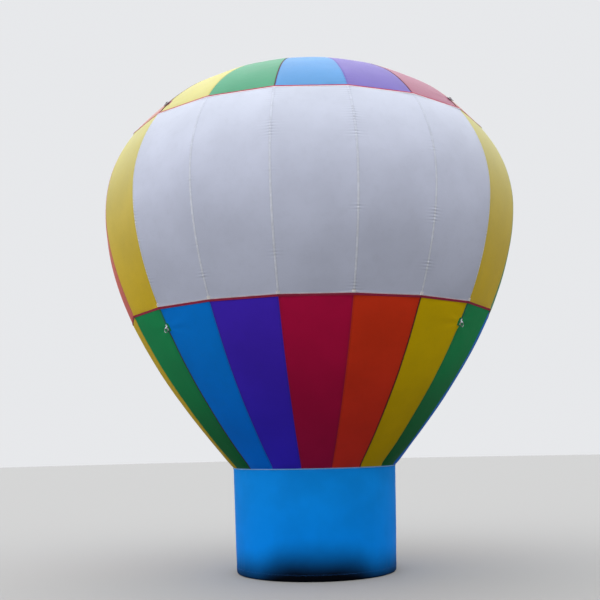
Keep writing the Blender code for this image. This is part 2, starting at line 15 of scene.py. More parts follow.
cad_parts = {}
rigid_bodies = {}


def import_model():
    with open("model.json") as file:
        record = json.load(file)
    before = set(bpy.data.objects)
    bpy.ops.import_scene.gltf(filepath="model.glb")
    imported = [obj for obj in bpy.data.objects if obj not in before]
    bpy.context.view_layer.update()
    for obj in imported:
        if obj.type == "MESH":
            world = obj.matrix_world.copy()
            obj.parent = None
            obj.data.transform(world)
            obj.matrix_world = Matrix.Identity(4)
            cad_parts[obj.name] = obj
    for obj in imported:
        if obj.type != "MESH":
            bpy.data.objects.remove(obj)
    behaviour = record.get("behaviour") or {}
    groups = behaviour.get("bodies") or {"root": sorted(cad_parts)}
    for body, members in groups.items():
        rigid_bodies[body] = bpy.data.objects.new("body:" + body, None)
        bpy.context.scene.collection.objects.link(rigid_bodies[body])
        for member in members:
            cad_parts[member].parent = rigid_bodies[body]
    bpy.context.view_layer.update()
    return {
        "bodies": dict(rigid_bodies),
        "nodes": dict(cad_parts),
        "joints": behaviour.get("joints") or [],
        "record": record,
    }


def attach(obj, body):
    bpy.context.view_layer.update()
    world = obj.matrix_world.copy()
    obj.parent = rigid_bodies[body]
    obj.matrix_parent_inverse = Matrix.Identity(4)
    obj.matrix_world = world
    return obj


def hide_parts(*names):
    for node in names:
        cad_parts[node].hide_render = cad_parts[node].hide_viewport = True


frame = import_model()

# Envelope, the same sizes as in the CAD
TOTAL_HEIGHT = 6.0
BASE_HEIGHT = 1.197
BASE_BOTTOM_RADIUS = 0.922
NECK_RADIUS = 0.953
EQUATOR_RADIUS = 2.452
EQUATOR_HEIGHT = 4.149
NECK_FLARE = math.radians(41.3)
NECK_SWELL = 1.32
EQUATOR_SWELL = 0.878
DOME_EXPONENT = 2.02
GORE_COUNT = 18
GORE_ANGLE = 2 * math.pi / GORE_COUNT
PATTERN_TURN = math.radians(1.55)
BANNER_REACH = 2
CROWN_PATCH_RADIUS = 0.20
DRUM_HEM_ROUND = 0.02
SEAM_STAND = 1.008
CURVE_STEPS = 200
GAP = 0.0003

# Lengths from the neck to both seams and to the hole that the crown patch covers
LOWER_SEAM = 2.0895
UPPER_SEAM = 4.3656
CROWN_END = 6.7166

# Seam tapes and anchors, the same sizes as in the CAD
LOWER_TAPE_HALF_WIDTH = 0.015
UPPER_TAPE_HALF_WIDTH = 0.011
TAPE_THICKNESS = 0.003
ANCHOR_ANGLES = {
    "front_left": math.radians(-50),
    "front_right": math.radians(50),
    "back_right": math.radians(130),
    "back_left": math.radians(-130),
}
LOWER_DROP = 0.225
UPPER_RISE = 0.180
LOWER_SPANS = 6
CROWN_SPANS = 8
STRAP_HALF_WIDTH = 0.015
STRAP_TAIL = 0.012
PIN_HEIGHT = 0.012
LOOP_HALF_WIDTH = 0.013
RING_WIRE = 0.004
RING_HALF_WIDTH = 0.030
RING_SHOULDER = 0.020

# Blower, the same sizes as in the CAD
BLOWER_CENTRE = Vector((0.0, 1.72, 0.285))
SCROLL_START = 0.150
SCROLL_END = 0.215
SCROLL_HALF_WIDTH = 0.105
SPOUT_RADIUS = 0.100
SPOUT_START = 1.54
SPOUT_TIP = 1.330
SPOUT_HEIGHT = 0.180
INLET_RADIUS = 0.095
MOTOR_RADIUS = 0.075
MOTOR_LENGTH = 0.150
HANDLE_RADIUS = 0.010
HANDLE_LENGTH = 0.150
HANDLE_HEIGHT = 0.512
WHEEL_RADIUS = 0.125
WHEEL_HALF_WIDTH = 0.080
SLEEVE_ROOT = 0.900
SLEEVE_TIP = 1.420
SLEEVE_RADIUS = 0.1053

# Cloth
CLOTH_THICKNESS = 0.0015
NECK_ROUNDING = 0.30
GORE_ROWS = 130
BANNER_ROWS = 285
SIDE_END = GORE_COUNT // 2 - BANNER_REACH
BANNER_GORES = 2 * BANNER_REACH + 1
COLOUR_CYCLE = ("green", "blue", "purple", "crimson", "orange", "yellow")
RIPSTOP_GRID = 0.006
WEAVE_PITCH = 0.0012
STITCH_PITCH = 0.0045
STITCH_FILL = 0.62
STITCH_HALF_WIDTH = 0.0008
CLOTH_GLOSS = {"Specular IOR Level": 0.04, "Sheen Weight": 0.02, "Sheen Roughness": 0.4}

# Each cloth's colour at the neck, at the lower seam and on top. The neck colour is painted
# shade under the envelope, a little bluer on the blue and purple cloths; the top colour is
# painted light from above, which washes the colours out pale and tones the white down
CLOTH_COLOURS = {
    "green": ((0.004, 0.160, 0.040), (0.012, 0.350, 0.110), (0.080, 0.300, 0.180)),
    "blue": ((0.001, 0.228, 1.000), (0.002, 0.250, 0.900), (0.100, 0.275, 0.540)),
    "purple": ((0.052, 0.028, 0.730), (0.076, 0.028, 0.650), (0.175, 0.140, 0.410)),
    "crimson": ((0.460, 0.009, 0.066), (0.590, 0.008, 0.070), (0.350, 0.145, 0.215)),
    "orange": ((0.840, 0.042, 0.024), (0.850, 0.050, 0.014), (0.480, 0.220, 0.180)),
    "yellow": ((0.740, 0.470, 0.001), (0.860, 0.580, 0.001), (0.520, 0.500, 0.190)),
    "white": ((0.650, 0.685, 0.840), (0.650, 0.685, 0.840), (0.530, 0.565, 0.665)),
}
SHADE_END = 2.7
# Heights over which the top colour's painted light comes in; the crown and side gores take it
# from lower down
TOP_LIGHT_HEIGHTS = (3.9, 5.2)
GLARE_TOP_LIGHT_HEIGHTS = (2.7, 5.2)

# Tapes, straps and hems as they show
TAPE_INSET = 0.003
HEM_HALF_WIDTH = 0.007
LOAD_TAPE_WIDTH = 0.013
CROWN_TAPE_WIDTH = 0.012
BANNER_TAPE_WIDTH = 0.020
TAB_WIDTH = 0.042
TAB_LENGTH = 0.034
THREAD_UP = (0.3, 0.5, 0.8)
ALONG_SHAFT = (1.0, 0.0, 0.0)


def shares(steps):
    """Even shares from 0 to 1, both included."""
    return [i / steps for i in range(steps + 1)]


def turns(steps):
    """Even angles of one full turn, from 0."""
    return [2 * math.pi * i / steps for i in range(steps)]


# Envelope profile, in the plane of radius and height

def lower_curve(share):
    """From the neck (0) to the equator (1)."""
    neck = Vector((NECK_RADIUS, BASE_HEIGHT))
    flare = neck + NECK_SWELL * Vector((math.sin(NECK_FLARE), math.cos(NECK_FLARE)))
    equator = Vector((EQUATOR_RADIUS, EQUATOR_HEIGHT))
    below = equator - Vector((0.0, EQUATOR_SWELL))
    rest = 1 - share
    return (rest ** 3 * neck + 3 * rest * rest * share * flare
            + 3 * rest * share * share * below + share ** 3 * equator)


def dome_curve(share):
    """From the equator (0) to the pole (1), close to a quarter of an ellipse."""
    turn = share * math.pi / 2
    power = 2 / DOME_EXPONENT
    radius = EQUATOR_RADIUS * max(math.cos(turn), 0.0) ** power
    rise = (TOTAL_HEIGHT - EQUATOR_HEIGHT) * math.sin(turn) ** power
    return Vector((radius, EQUATOR_HEIGHT + rise))


class Profile:
    """A turned outline: points of radius and height, with the lengths along them."""

    def __init__(self, points):
        self.points = points
        self.lengths = [0.0]
        for start, end in zip(points, points[1:]):
            self.lengths.append(self.lengths[-1] + (end - start).length)

    def at(self, length):
        """Point and outward normal at a length from the start."""
        index = min(max(bisect_left(self.lengths, length), 1), len(self.lengths) - 1)
        start, end = self.points[index - 1], self.points[index]
        before = self.lengths[index - 1]
        share = (length - before) / (self.lengths[index] - before)
        tangent = (end - start).normalized()
        return start.lerp(end, share), Vector((tangent.y, -tangent.x))

    def length_where(self, test):
        """Length at the first point that passes the test."""
        return next(run for run, point in zip(self.lengths, self.points) if test(point))

    def flat_area(self, start, end, angle):
        """Area of the cloth that covers an angle between two lengths."""
        steps = 60
        step = (end - start) / steps
        radii = [self.at(start + step * (i + 0.5))[0].x for i in range(steps)]
        return angle * step * sum(radii)


def envelope_points():
    """The outline from the neck to the pole."""
    points = [lower_curve(share) for share in shares(CURVE_STEPS)]
    return points + [dome_curve(share) for share in shares(CURVE_STEPS)[1:]]


ENVELOPE = Profile(envelope_points())


def flat_share(angle):
    """Gores are flat across: the seams stand out from the profile and the middles lie in."""
    across = (angle / GORE_ANGLE + 0.5) % 1.0 - 0.5
    return SEAM_STAND * math.cos(GORE_ANGLE / 2) / math.cos(across * GORE_ANGLE)


def place(angle, radius, height, flatness=1.0):
    """World point at an angle of the colour pattern, on the flat of its gore."""
    turn = angle + PATTERN_TURN
    reach = radius * (1.0 + flatness * (flat_share(angle) - 1.0))
    return Vector((reach * math.sin(turn), -reach * math.cos(turn), height))


def frame_at(spot, x_axis, y_axis, z_axis):
    """A frame with its origin at a spot and its axes along three directions."""
    return Matrix.Translation(spot) @ Matrix((x_axis, y_axis, z_axis)).transposed().to_4x4()


def turned_frame(spot, axis, degrees):
    """A frame with its origin at a spot, turned about one world axis."""
    return Matrix.Translation(spot) @ Matrix.Rotation(math.radians(degrees), 4, axis)


# Node graphs

class Signal:
    """A node's output that takes part in plain arithmetic."""

    def __init__(self, graph, socket):
        self.graph = graph
        self.socket = socket

    def math(self, operation, *others):
        return self.graph.math(operation, self, *others)

    def __add__(self, other):
        return self.math("ADD", other)

    def __radd__(self, other):
        return self.math("ADD", other)

    def __sub__(self, other):
        return self.math("SUBTRACT", other)

    def __rsub__(self, other):
        return self.graph.math("SUBTRACT", other, self)

    def __mul__(self, other):
        return self.math("MULTIPLY", other)

    def __truediv__(self, other):
        return self.math("DIVIDE", other)

    def __rtruediv__(self, other):
        return self.graph.math("DIVIDE", other, self)

    def sine(self):
        return self.math("SINE")

    def cosine(self):
        return self.math("COSINE")

    def decay(self):
        """1 at nought, falling off exponentially as the signal grows."""
        return (self * -1.0).math("EXPONENT")

    def ramp(self, low, high, to_low=0.0, to_high=1.0):
        """Eased change from one value to the other while the signal goes from low to high."""
        node = self.graph.add("ShaderNodeMapRange", interpolation_type="SMOOTHSTEP")
        for place_in_list, value in enumerate((self, low, high, to_low, to_high)):
            self.graph.feed(node.inputs[place_in_list], value)
        return Signal(self.graph, node.outputs[0])

    def parts(self):
        """The three parts of a vector."""
        node = self.graph.add("ShaderNodeSeparateXYZ", {0: self})
        return [Signal(self.graph, socket) for socket in node.outputs]


class Graph:
    """Adds nodes to a tree, so that a rule or a pattern reads as plain arithmetic."""

    def __init__(self, tree):
        self.tree = tree

    def feed(self, socket, value):
        """Links a signal to a socket, or sets the value of the socket."""
        if isinstance(value, Signal):
            self.tree.links.new(value.socket, socket)
        else:
            socket.default_value = value

    def add(self, kind, feeds=None, **options):
        """Adds a node, sets its options, then feeds its inputs by name or number."""
        node = self.tree.nodes.new(kind)
        for option, choice in options.items():
            setattr(node, option, choice)
        for key, value in (feeds or {}).items():
            self.feed(node.inputs[key], value)
        return node

    def out(self, kind, feeds=None, output=0, **options):
        """Adds a node and returns one of its outputs as a signal."""
        return Signal(self, self.add(kind, feeds, **options).outputs[output])

    def math(self, operation, *values):
        return self.out("ShaderNodeMath", dict(enumerate(values)), operation=operation)

    def vector(self, x, y, z):
        return self.out("ShaderNodeCombineXYZ", {0: x, 1: y, 2: z})

    def noise(self, vector, scale, detail=2.0, roughness=0.5):
        feeds = {"Vector": vector, "Scale": scale, "Detail": detail, "Roughness": roughness}
        return self.out("ShaderNodeTexNoise", feeds)


def new_tree(name, sizes):
    """A geometry tree with named inputs; a text as default names a socket type."""
    tree = bpy.data.node_groups.new(name, "GeometryNodeTree")
    sockets = tree.interface
    sockets.new_socket("Geometry", in_out="INPUT", socket_type="NodeSocketGeometry")
    sockets.new_socket("Geometry", in_out="OUTPUT", socket_type="NodeSocketGeometry")
    kinds = {bool: "NodeSocketBool", int: "NodeSocketInt", float: "NodeSocketFloat"}
    for label, value in sizes.items():
        if isinstance(value, str):
            sockets.new_socket(label, in_out="INPUT", socket_type=f"NodeSocket{value}")
        else:
            socket = sockets.new_socket(label, in_out="INPUT", socket_type=kinds[type(value)])
            socket.default_value = value
    graph = Graph(tree)
    source = tree.nodes.new("NodeGroupInput")
    signals = {label: Signal(graph, source.outputs[label]) for label in sizes}
    return graph, signals


def end_tree(graph, geometry, material):
    """Realizes what the tree made, gives it its material and sends it out."""
    real = graph.out("GeometryNodeRealizeInstances", {"Geometry": geometry})
    painted = graph.out("GeometryNodeSetMaterial", {"Geometry": real, "Material": material})
    sink = graph.tree.nodes.new("NodeGroupOutput")
    graph.feed(sink.inputs["Geometry"], painted)
    return graph.tree


def grow(name, tree, sizes):
    """Runs a tree and keeps what it makes as a plain mesh in world place."""
    piece = bpy.data.objects.new(name, bpy.data.meshes.new(name))
    bpy.context.collection.objects.link(piece)
    step = piece.modifiers.new(tree.name, "NODES")
    step.node_group = tree
    for item in tree.interface.items_tree:
        if item.in_out == "INPUT" and item.name in sizes:
            step[item.identifier] = sizes[item.name]
    depsgraph = bpy.context.evaluated_depsgraph_get()
    made = bpy.data.meshes.new_from_object(piece.evaluated_get(depsgraph))
    made.name = name
    piece.modifiers.clear()
    piece.data = made
    made.shade_smooth()
    made.set_sharp_from_angle(angle=math.radians(50))
    return piece


def guide_lines(name, paths, closed=False):
    """Lines that a tree follows; they aren't linked to the scene and never show."""
    curve = bpy.data.curves.new(name, "CURVE")
    curve.dimensions = "3D"
    for path in paths:
        spline = curve.splines.new("POLY")
        spline.points.add(len(path) - 1)
        for target, spot in zip(spline.points, path):
            target.co = (*spot, 1.0)
        spline.use_cyclic_u = closed
    return bpy.data.objects.new(name, curve)


def profile_line(name, profile):
    """A profile as a guide line, with its radius along X."""
    return guide_lines(name, [[(point.x, 0.0, point.y) for point in profile.points]])


# Sewn cloth over a turned profile

CLOTH_SIZES = {
    "Profile": "Object",
    "Anchors": "Object",
    "Gore Angle": GORE_ANGLE,
    "Start": 0.0,
    "End": 1.0,
    "Flatness": 1.0,
    "Lobe": 0.005,
    "Crease": 0.0045,
    "Crease Width": 0.012,
    "Pucker": 0.0014,
    "Pitch": 0.060,
    "Reach": 0.07,
    "Gather": 0.003,
    "Gather Reach": 0.09,
    "Wave": 0.008,
    "Wave Size": 0.55,
    "Tug": 0.006,
    "Anchor Stand": 0.0,
    "Fade": 0.05,
    "Seed": 0.0,
}


def object_shape(graph, source):
    """The geometry of an object that a tree is given."""
    return graph.out("GeometryNodeObjectInfo", {"Object": source}, output="Geometry")


def tag(graph, geometry, name, value, domain="POINT"):
    """Stores a vector under a name on the geometry's points or corners."""
    feeds = {"Geometry": geometry, "Name": name, "Value": value}
    return graph.out("GeometryNodeStoreNamedAttribute", feeds, data_type="FLOAT_VECTOR",
                     domain=domain)


def tagged_value(graph, name):
    """Reads a vector that a tag stored."""
    return graph.out("GeometryNodeInputNamedAttribute", {"Name": name}, data_type="FLOAT_VECTOR")


def profile_point(graph, profile, length):
    """Radius, height and outward normal of the profile at a length."""
    node = graph.add("GeometryNodeSampleCurve", {
        "Curves": object_shape(graph, profile), "Length": length},
        mode="LENGTH", use_all_curves=False)
    radius, _, height = Signal(graph, node.outputs["Position"]).parts()
    along, _, up = Signal(graph, node.outputs["Tangent"]).parts()
    return radius, height, up, along * -1.0


def turned_place(graph, size, angle, radius, height):
    """World point on the flat of its gore; the gores grow flat above the round neck."""
    across = (angle / GORE_ANGLE + 0.5).math("FRACT") - 0.5
    straight = SEAM_STAND * math.cos(GORE_ANGLE / 2) / (across * GORE_ANGLE).cosine()
    flatness = size["Flatness"] * height.ramp(BASE_HEIGHT, BASE_HEIGHT + NECK_ROUNDING)
    reach = radius * (1.0 + flatness * (straight - 1.0))
    turn = angle + PATTERN_TURN
    return graph.vector(reach * turn.sine(), reach * turn.cosine() * -1.0, height)


def anchor_pull(graph, size, spot, around):
    """Distance to the nearest anchor and the creases that fan out from it."""
    nearest = graph.add("GeometryNodeProximity", {
        "Geometry": object_shape(graph, size["Anchors"]), "Sample Position": spot},
        target_element="POINTS")
    pull = Signal(graph, nearest.outputs["Distance"])
    off_x, off_y, off_z = graph.out("ShaderNodeVectorMath", {
        0: spot, 1: Signal(graph, nearest.outputs["Position"])}, operation="SUBTRACT").parts()
    sideways = off_x * around.cosine() + off_y * around.sine()
    bearing = sideways.math("ARCTAN2", off_z)
    ray_count = 9.0
    ray_reach = 0.16
    rays = (bearing * ray_count).cosine() * (pull / ray_reach).decay() * pull.ramp(0.03, 0.09)
    return pull, size["Tug"] * rays


def cloth_height(graph, size, angle, length, point):
    """How far the cloth stands off its profile: lobes, creases, puckers and soft waves."""
    radius, height = point[:2]
    gores = angle / size["Gore Angle"] + 0.5
    share = gores.math("FRACT")
    seam = share.math("MINIMUM", 1.0 - share) * size["Gore Angle"] * radius
    gores_round = 2 * math.pi / size["Gore Angle"]
    number = (gores.math("ROUND") + 0.5).math("FLOORED_MODULO", gores_round)
    around = angle + PATTERN_TURN
    spot = turned_place(graph, size, angle, radius, height)
    pull, tugged = anchor_pull(graph, size, spot, around)

    middle = share * 2.0 - 1.0
    near_pole = radius.ramp(0.0, 0.7)
    lobe = size["Lobe"] * near_pole * (0.5 - middle * middle)
    crease = size["Crease"] * near_pole * (seam / size["Crease Width"]).decay()

    shift = graph.noise(graph.vector(number * 7.3 + size["Seed"], length * 1.7, 0.0), 1.0)
    strength = graph.noise(graph.vector(number * 3.1, length * 4.0, size["Seed"] + 9.0), 1.0)
    beat = (length / size["Pitch"] * (2 * math.pi) + shift * 14.0).sine()
    pucker = size["Pucker"] * near_pole * beat * strength.ramp(0.48, 0.66)
    pucker = pucker * (seam / size["Reach"]).decay()

    from_start = length - size["Start"]
    from_end = size["End"] - length
    close = (from_start.math("MINIMUM", from_end) / size["Gather Reach"]).decay()
    fold_spot = graph.vector(around.cosine() * 9.0, around.sine() * 9.0,
                             from_start * 0.8 + size["Seed"])
    fold = graph.noise(fold_spot, 1.0, 3.0)
    gather = size["Gather"] * close * (fold * 26.0).sine()

    long_spot = graph.vector(radius * around.sine(), radius * around.cosine(), height * 0.55)
    soft = graph.noise(long_spot, 1.0 / size["Wave Size"], 2.0)
    wave = size["Wave"] * (soft - 0.5) * 2.0

    ends = from_start.math("MINIMUM", from_end).ramp(0.0, size["Fade"])
    loose = pull.ramp(0.035, 0.15)
    free = lobe - crease + pucker + gather + wave + tugged
    return ends * (free * loose + size["Anchor Stand"] * (1.0 - loose)), seam


def flat_block(graph, columns, rows, side=1.0):
    """A block one layer thick, with its columns along X and its rows along Z."""
    return graph.out("GeometryNodeMeshCube", {
        "Size": (side, 1.0, side), "Vertices X": columns, "Vertices Y": 2, "Vertices Z": rows})


def copy_block(graph, points, block):
    """A copy of the block at each point, which keeps its place in the block as its tag."""
    block = tag(graph, block, "local", graph.out("GeometryNodeInputPosition"))
    copies = graph.out("GeometryNodeInstanceOnPoints", {"Points": points, "Instance": block})
    return graph.out("GeometryNodeRealizeInstances", {"Geometry": copies})


def lay_cloth(graph, size, block, angle, point, stand, layer, measures, domain="POINT"):
    """Lays a block over the profile and keeps the cloth's own measures on it."""
    radius, height, out_r, out_z = point
    depth = stand + size["Lift"] - (layer + 0.5) * size["Thickness"]
    spot = turned_place(graph, size, angle, radius + depth * out_r, height + depth * out_z)
    tagged = tag(graph, block, "cloth", measures, domain)
    return graph.out("GeometryNodeSetPosition", {"Geometry": tagged, "Position": spot})


def panel_tree():
    """Cloth panels as one closed shell: a block of unit size is laid over the profile."""
    graph, size = new_tree("Sewn panel", {
        **CLOTH_SIZES,
        "From": 0.0,
        "To": 1.0,
        "First Angle": 0.0,
        "Gores": 1,
        "Columns": 14,
        "Crowding": 0.75,
        "Rows": GORE_ROWS,
        "Lift": 0.0,
        "Thickness": CLOTH_THICKNESS,
        "Ring": False,
        "Material": "Material",
    })
    columns = size["Gores"] * size["Columns"] + 1.0
    block = flat_block(graph, columns, size["Rows"] + 1.0)
    side = graph.out("GeometryNodeInputNormal").parts()[0].math("ABSOLUTE")
    end_wall = side.math("GREATER_THAN", 0.9) * size["Ring"]
    block = graph.out("GeometryNodeDeleteGeometry", {"Geometry": block, "Selection": end_wall},
                      domain="FACE", mode="ALL")
    x, y, z = graph.out("GeometryNodeInputPosition").parts()
    across = (x + 0.5) * size["Gores"]
    gore = across.math("MINIMUM", size["Gores"] - 0.0001).math("FLOOR")
    share = across - gore
    spread = share - (share * (2 * math.pi)).sine() * size["Crowding"] / (2 * math.pi)
    angle = size["First Angle"] + (gore + spread) * size["Gore Angle"]
    length = size["From"] + (z + 0.5) * (size["To"] - size["From"])

    point = profile_point(graph, size["Profile"], length)
    stand, seam = cloth_height(graph, size, angle, length, point)
    measures = graph.vector(angle * point[0], length, seam)
    shaped = lay_cloth(graph, size, block, angle, point, stand, y, measures, "CORNER")
    joined = graph.out("GeometryNodeMergeByDistance", {"Geometry": shaped, "Distance": 0.00001})
    return end_tree(graph, joined, size["Material"])


def load_tape_tree():
    """Narrow tapes along several gore seams, each spanning the crease at its seam."""
    graph, size = new_tree("Load tapes", {
        **CLOTH_SIZES,
        "From": 0.0,
        "To": 1.0,
        "Count": 9,
        "First Angle": 0.0,
        "Angle Step": 2 * GORE_ANGLE,
        "Rows": 150,
        "Width": 0.016,
        "Puff": 0.001,
        "Lift": 0.001,
        "Thickness": CLOTH_THICKNESS,
        "Material": "Material",
    })
    starts = graph.out("GeometryNodeMeshLine", {
        "Count": size["Count"], "Start Location": (0.0, 0.0, 0.0), "Offset": (0.0, 0.0, 0.0)},
        mode="OFFSET")
    index = graph.out("GeometryNodeInputIndex")
    starts = tag(graph, starts, "tape", graph.vector(index, 0.0, 0.0))
    tapes = copy_block(graph, starts, flat_block(graph, 5, size["Rows"] + 1.0))
    x, y, z = tagged_value(graph, "local").parts()
    number = tagged_value(graph, "tape").parts()[0]
    seam_angle = size["First Angle"] + number * size["Angle Step"]
    length = size["From"] + (z + 0.5) * (size["To"] - size["From"])
    point = profile_point(graph, size["Profile"], length)
    edge = size["Width"] / point[0]
    stand, _ = cloth_height(graph, size, seam_angle + edge * 0.5, length, point)
    puff = size["Puff"] * (1.0 - x * x * 4.0)
    rim = (0.5 - x.math("ABSOLUTE")) * size["Width"]
    measures = graph.vector(x * size["Width"], length, rim)
    shaped = lay_cloth(graph, size, tapes, seam_angle + x * edge, point, stand + puff, y,
                       measures)
    return end_tree(graph, shaped, size["Material"])


def anchor_patch_tree():
    """A rounded patch sewn over the cloth beside each anchor of one tier."""
    graph, size = new_tree("Anchor patches", {
        **CLOTH_SIZES,
        "Width": 0.085,
        "Length": 0.095,
        "Rounding": 0.18,
        "Rim": 0.045,
        "Lift": 0.0010,
        "Thickness": CLOTH_THICKNESS,
        "Material": "Material",
    })
    run = tagged_value(graph, "anchor").parts()[1]
    other_tier = 1.0 - run.math("GREATER_THAN", size["Start"]) * run.math(
        "LESS_THAN", size["End"])
    knots = graph.out("GeometryNodeDeleteGeometry", {
        "Geometry": object_shape(graph, size["Anchors"]), "Selection": other_tier},
        domain="POINT", mode="ALL")
    patches = copy_block(graph, knots, flat_block(graph, 17, 17, 2.0))
    u, y, v = tagged_value(graph, "local").parts()
    x = u * (1.0 - v * v * size["Rounding"]).math("SQRT") * size["Width"] * 0.5
    z = v * (1.0 - u * u * size["Rounding"]).math("SQRT") * size["Length"] * 0.5
    anchor_angle, anchor_run, _ = tagged_value(graph, "anchor").parts()
    length = anchor_run + z
    point = profile_point(graph, size["Profile"], length)
    angle = anchor_angle + x / point[0]
    stand, _ = cloth_height(graph, size, angle, length, point)
    rim = (1.0 - u.math("ABSOLUTE").math("MAXIMUM", v.math("ABSOLUTE"))) * size["Rim"]
    shaped = lay_cloth(graph, size, patches, angle, point, stand, y, graph.vector(x, z, rim))
    return end_tree(graph, shaped, size["Material"])


# Materials

def new_material(name):
    """A material, its graph and its surface shader."""
    made = bpy.data.materials.new(name)
    made.use_nodes = True
    return made, Graph(made.node_tree), made.node_tree.nodes["Principled BSDF"]


def mix_colour(graph, share, first, second, blend="MIX"):
    """Blends two colours; the colour sockets share their names, so a number picks them."""
    node = graph.add("ShaderNodeMix", data_type="RGBA", blend_type=blend)
    graph.feed(node.inputs["Factor"], share)
    graph.feed(node.inputs[6], first if isinstance(first, Signal) else (*first, 1.0))
    graph.feed(node.inputs[7], second if isinstance(second, Signal) else (*second, 1.0))
    return Signal(graph, node.outputs[2])


def band(signal, centre, half):
    """1 within half of the centre and 0 outside."""
    return (signal - centre).math("ABSOLUTE").math("LESS_THAN", half)


def toned(graph, colour, tone):
    """The colour times one brightness."""
    return mix_colour(graph, 1.0, colour, graph.vector(tone, tone, tone), "MULTIPLY")


def stitches(run, pitch, filled, from_edge, rows, half):
    """Rows of dashes beside an edge: 1 on the thread and 0 elsewhere."""
    lines = band(from_edge, rows[0], half)
    for row_place in rows[1:]:
        lines = lines.math("MAXIMUM", band(from_edge, row_place, half))
    return (run / pitch).math("FRACT").math("LESS_THAN", filled) * lines


def surface_inputs(graph):
    """The cloth's own measures (across, along and off a seam) and the place in space."""
    cloth = graph.out("ShaderNodeAttribute", output="Vector", attribute_name="cloth")
    return *cloth.parts(), graph.out("ShaderNodeTexCoord", output="Object")


def set_surface(graph, shader, shade, rough, relief, constants, strength=0.6):
    """Feeds colour, roughness and relief, and sets the constants on their own sockets."""
    graph.feed(shader.inputs["Base Color"], shade)
    graph.feed(shader.inputs["Roughness"], rough)
    bump = graph.add("ShaderNodeBump", {"Height": relief, "Strength": strength, "Distance": 1.0})
    graph.tree.links.new(bump.outputs["Normal"], shader.inputs["Normal"])
    for socket, value in constants.items():
        shader.inputs[socket].default_value = value


def cloth_material(name, colours, top_light_heights, stitch, lap_share=0.12, seam_grime_and_shade=0.12, sheen=0.02):
    """Coated nylon with its ripstop grid, seam allowance, two rows of stitches and grime, and
    painted light: shade towards the neck, light high up, a darker seam allowance and seam lines.
    """
    made, graph, shader = new_material(name)
    across, run, seam, spot = surface_inputs(graph)
    large = graph.noise(spot, 1.3, 3.0)
    fine = graph.noise(spot, 14.0, 4.0, 0.6)
    height = spot.parts()[2]
    neck_colour, colour, top_light_colour = colours
    # Painted light by height: shade towards the neck, then the top colour's painted light high up
    base = mix_colour(graph, height.ramp(BASE_HEIGHT, SHADE_END), neck_colour, colour)
    base = mix_colour(graph, height.ramp(*top_light_heights), base, top_light_colour)
    shade = toned(graph, base, large.ramp(0.3, 0.7, 0.93, 1.05))
    lines = band((across / RIPSTOP_GRID).math("FRACT"), 0.5, 0.06).math(
        "MAXIMUM", band((run / RIPSTOP_GRID).math("FRACT"), 0.5, 0.06))
    shade = mix_colour(graph, lines * 0.25, shade, [c * 0.75 for c in colour])
    # Painted shade: the seam allowance is darker, where the doubled cloth holds back the light
    # shining through it
    lap = seam.math("LESS_THAN", 0.016)
    shade = mix_colour(graph, lap * lap_share, shade, [c * 0.6 for c in colour])
    thread = stitches(run, STITCH_PITCH, STITCH_FILL, seam, (0.005, 0.013), STITCH_HALF_WIDTH)
    shade = mix_colour(graph, thread * 0.8, shade, stitch)
    # Grime at random, and along each seam a dark line that is partly grime and partly painted
    # shade in the crease
    grime_and_shade = fine.ramp(0.45, 0.75) * 0.03 + (seam / 0.01).decay() * seam_grime_and_shade
    shade = mix_colour(graph, grime_and_shade, shade, (0.03, 0.027, 0.025))
    rough = large.ramp(0.2, 0.8, 0.40, 0.52) + fine * 0.06
    wave = 2 * math.pi / WEAVE_PITCH
    weave = (across * wave).sine() * (run * wave).sine()
    relief = weave * 0.00004 + lines * 0.00012 + thread * 0.0004 + fine * 0.0012
    set_surface(graph, shader, shade, rough, relief, {**CLOTH_GLOSS, "Sheen Weight": sheen})
    return made


def webbing_material(name, colour, thread_colour, top_shade_colour=None):
    """Woven tape: herringbone ribs, stitch rows and scuffed spots; high up it may be painted
    darker, as painted shade.
    """
    made, graph, shader = new_material(name)
    across, run, rim, spot = surface_inputs(graph)
    wear = graph.noise(spot, 22.0, 4.0, 0.6)
    slant = (run / 0.004 + (across / 0.003).math("PINGPONG", 1.0)).math("FRACT")
    rib = (slant * (2 * math.pi)).sine()
    # Painted shade: high up the tape darkens towards the white cloth's painted top colour
    if top_shade_colour:
        colour = mix_colour(graph, spot.parts()[2].ramp(3.7, 4.7), colour, top_shade_colour)
    shade = toned(graph, colour, wear.ramp(0.3, 0.75, 0.90, 1.10) + rib * 0.06)
    thread = stitches(run, 0.0055, 0.65, rim, (0.0035,), 0.0007)
    shade = mix_colour(graph, thread * 0.9, shade, thread_colour)
    set_surface(graph, shader, shade, wear.ramp(0.2, 0.8, 0.62, 0.82),
                rib * 0.00025 + thread * 0.0005, {"Specular IOR Level": 0.2}, 0.7)
    return made


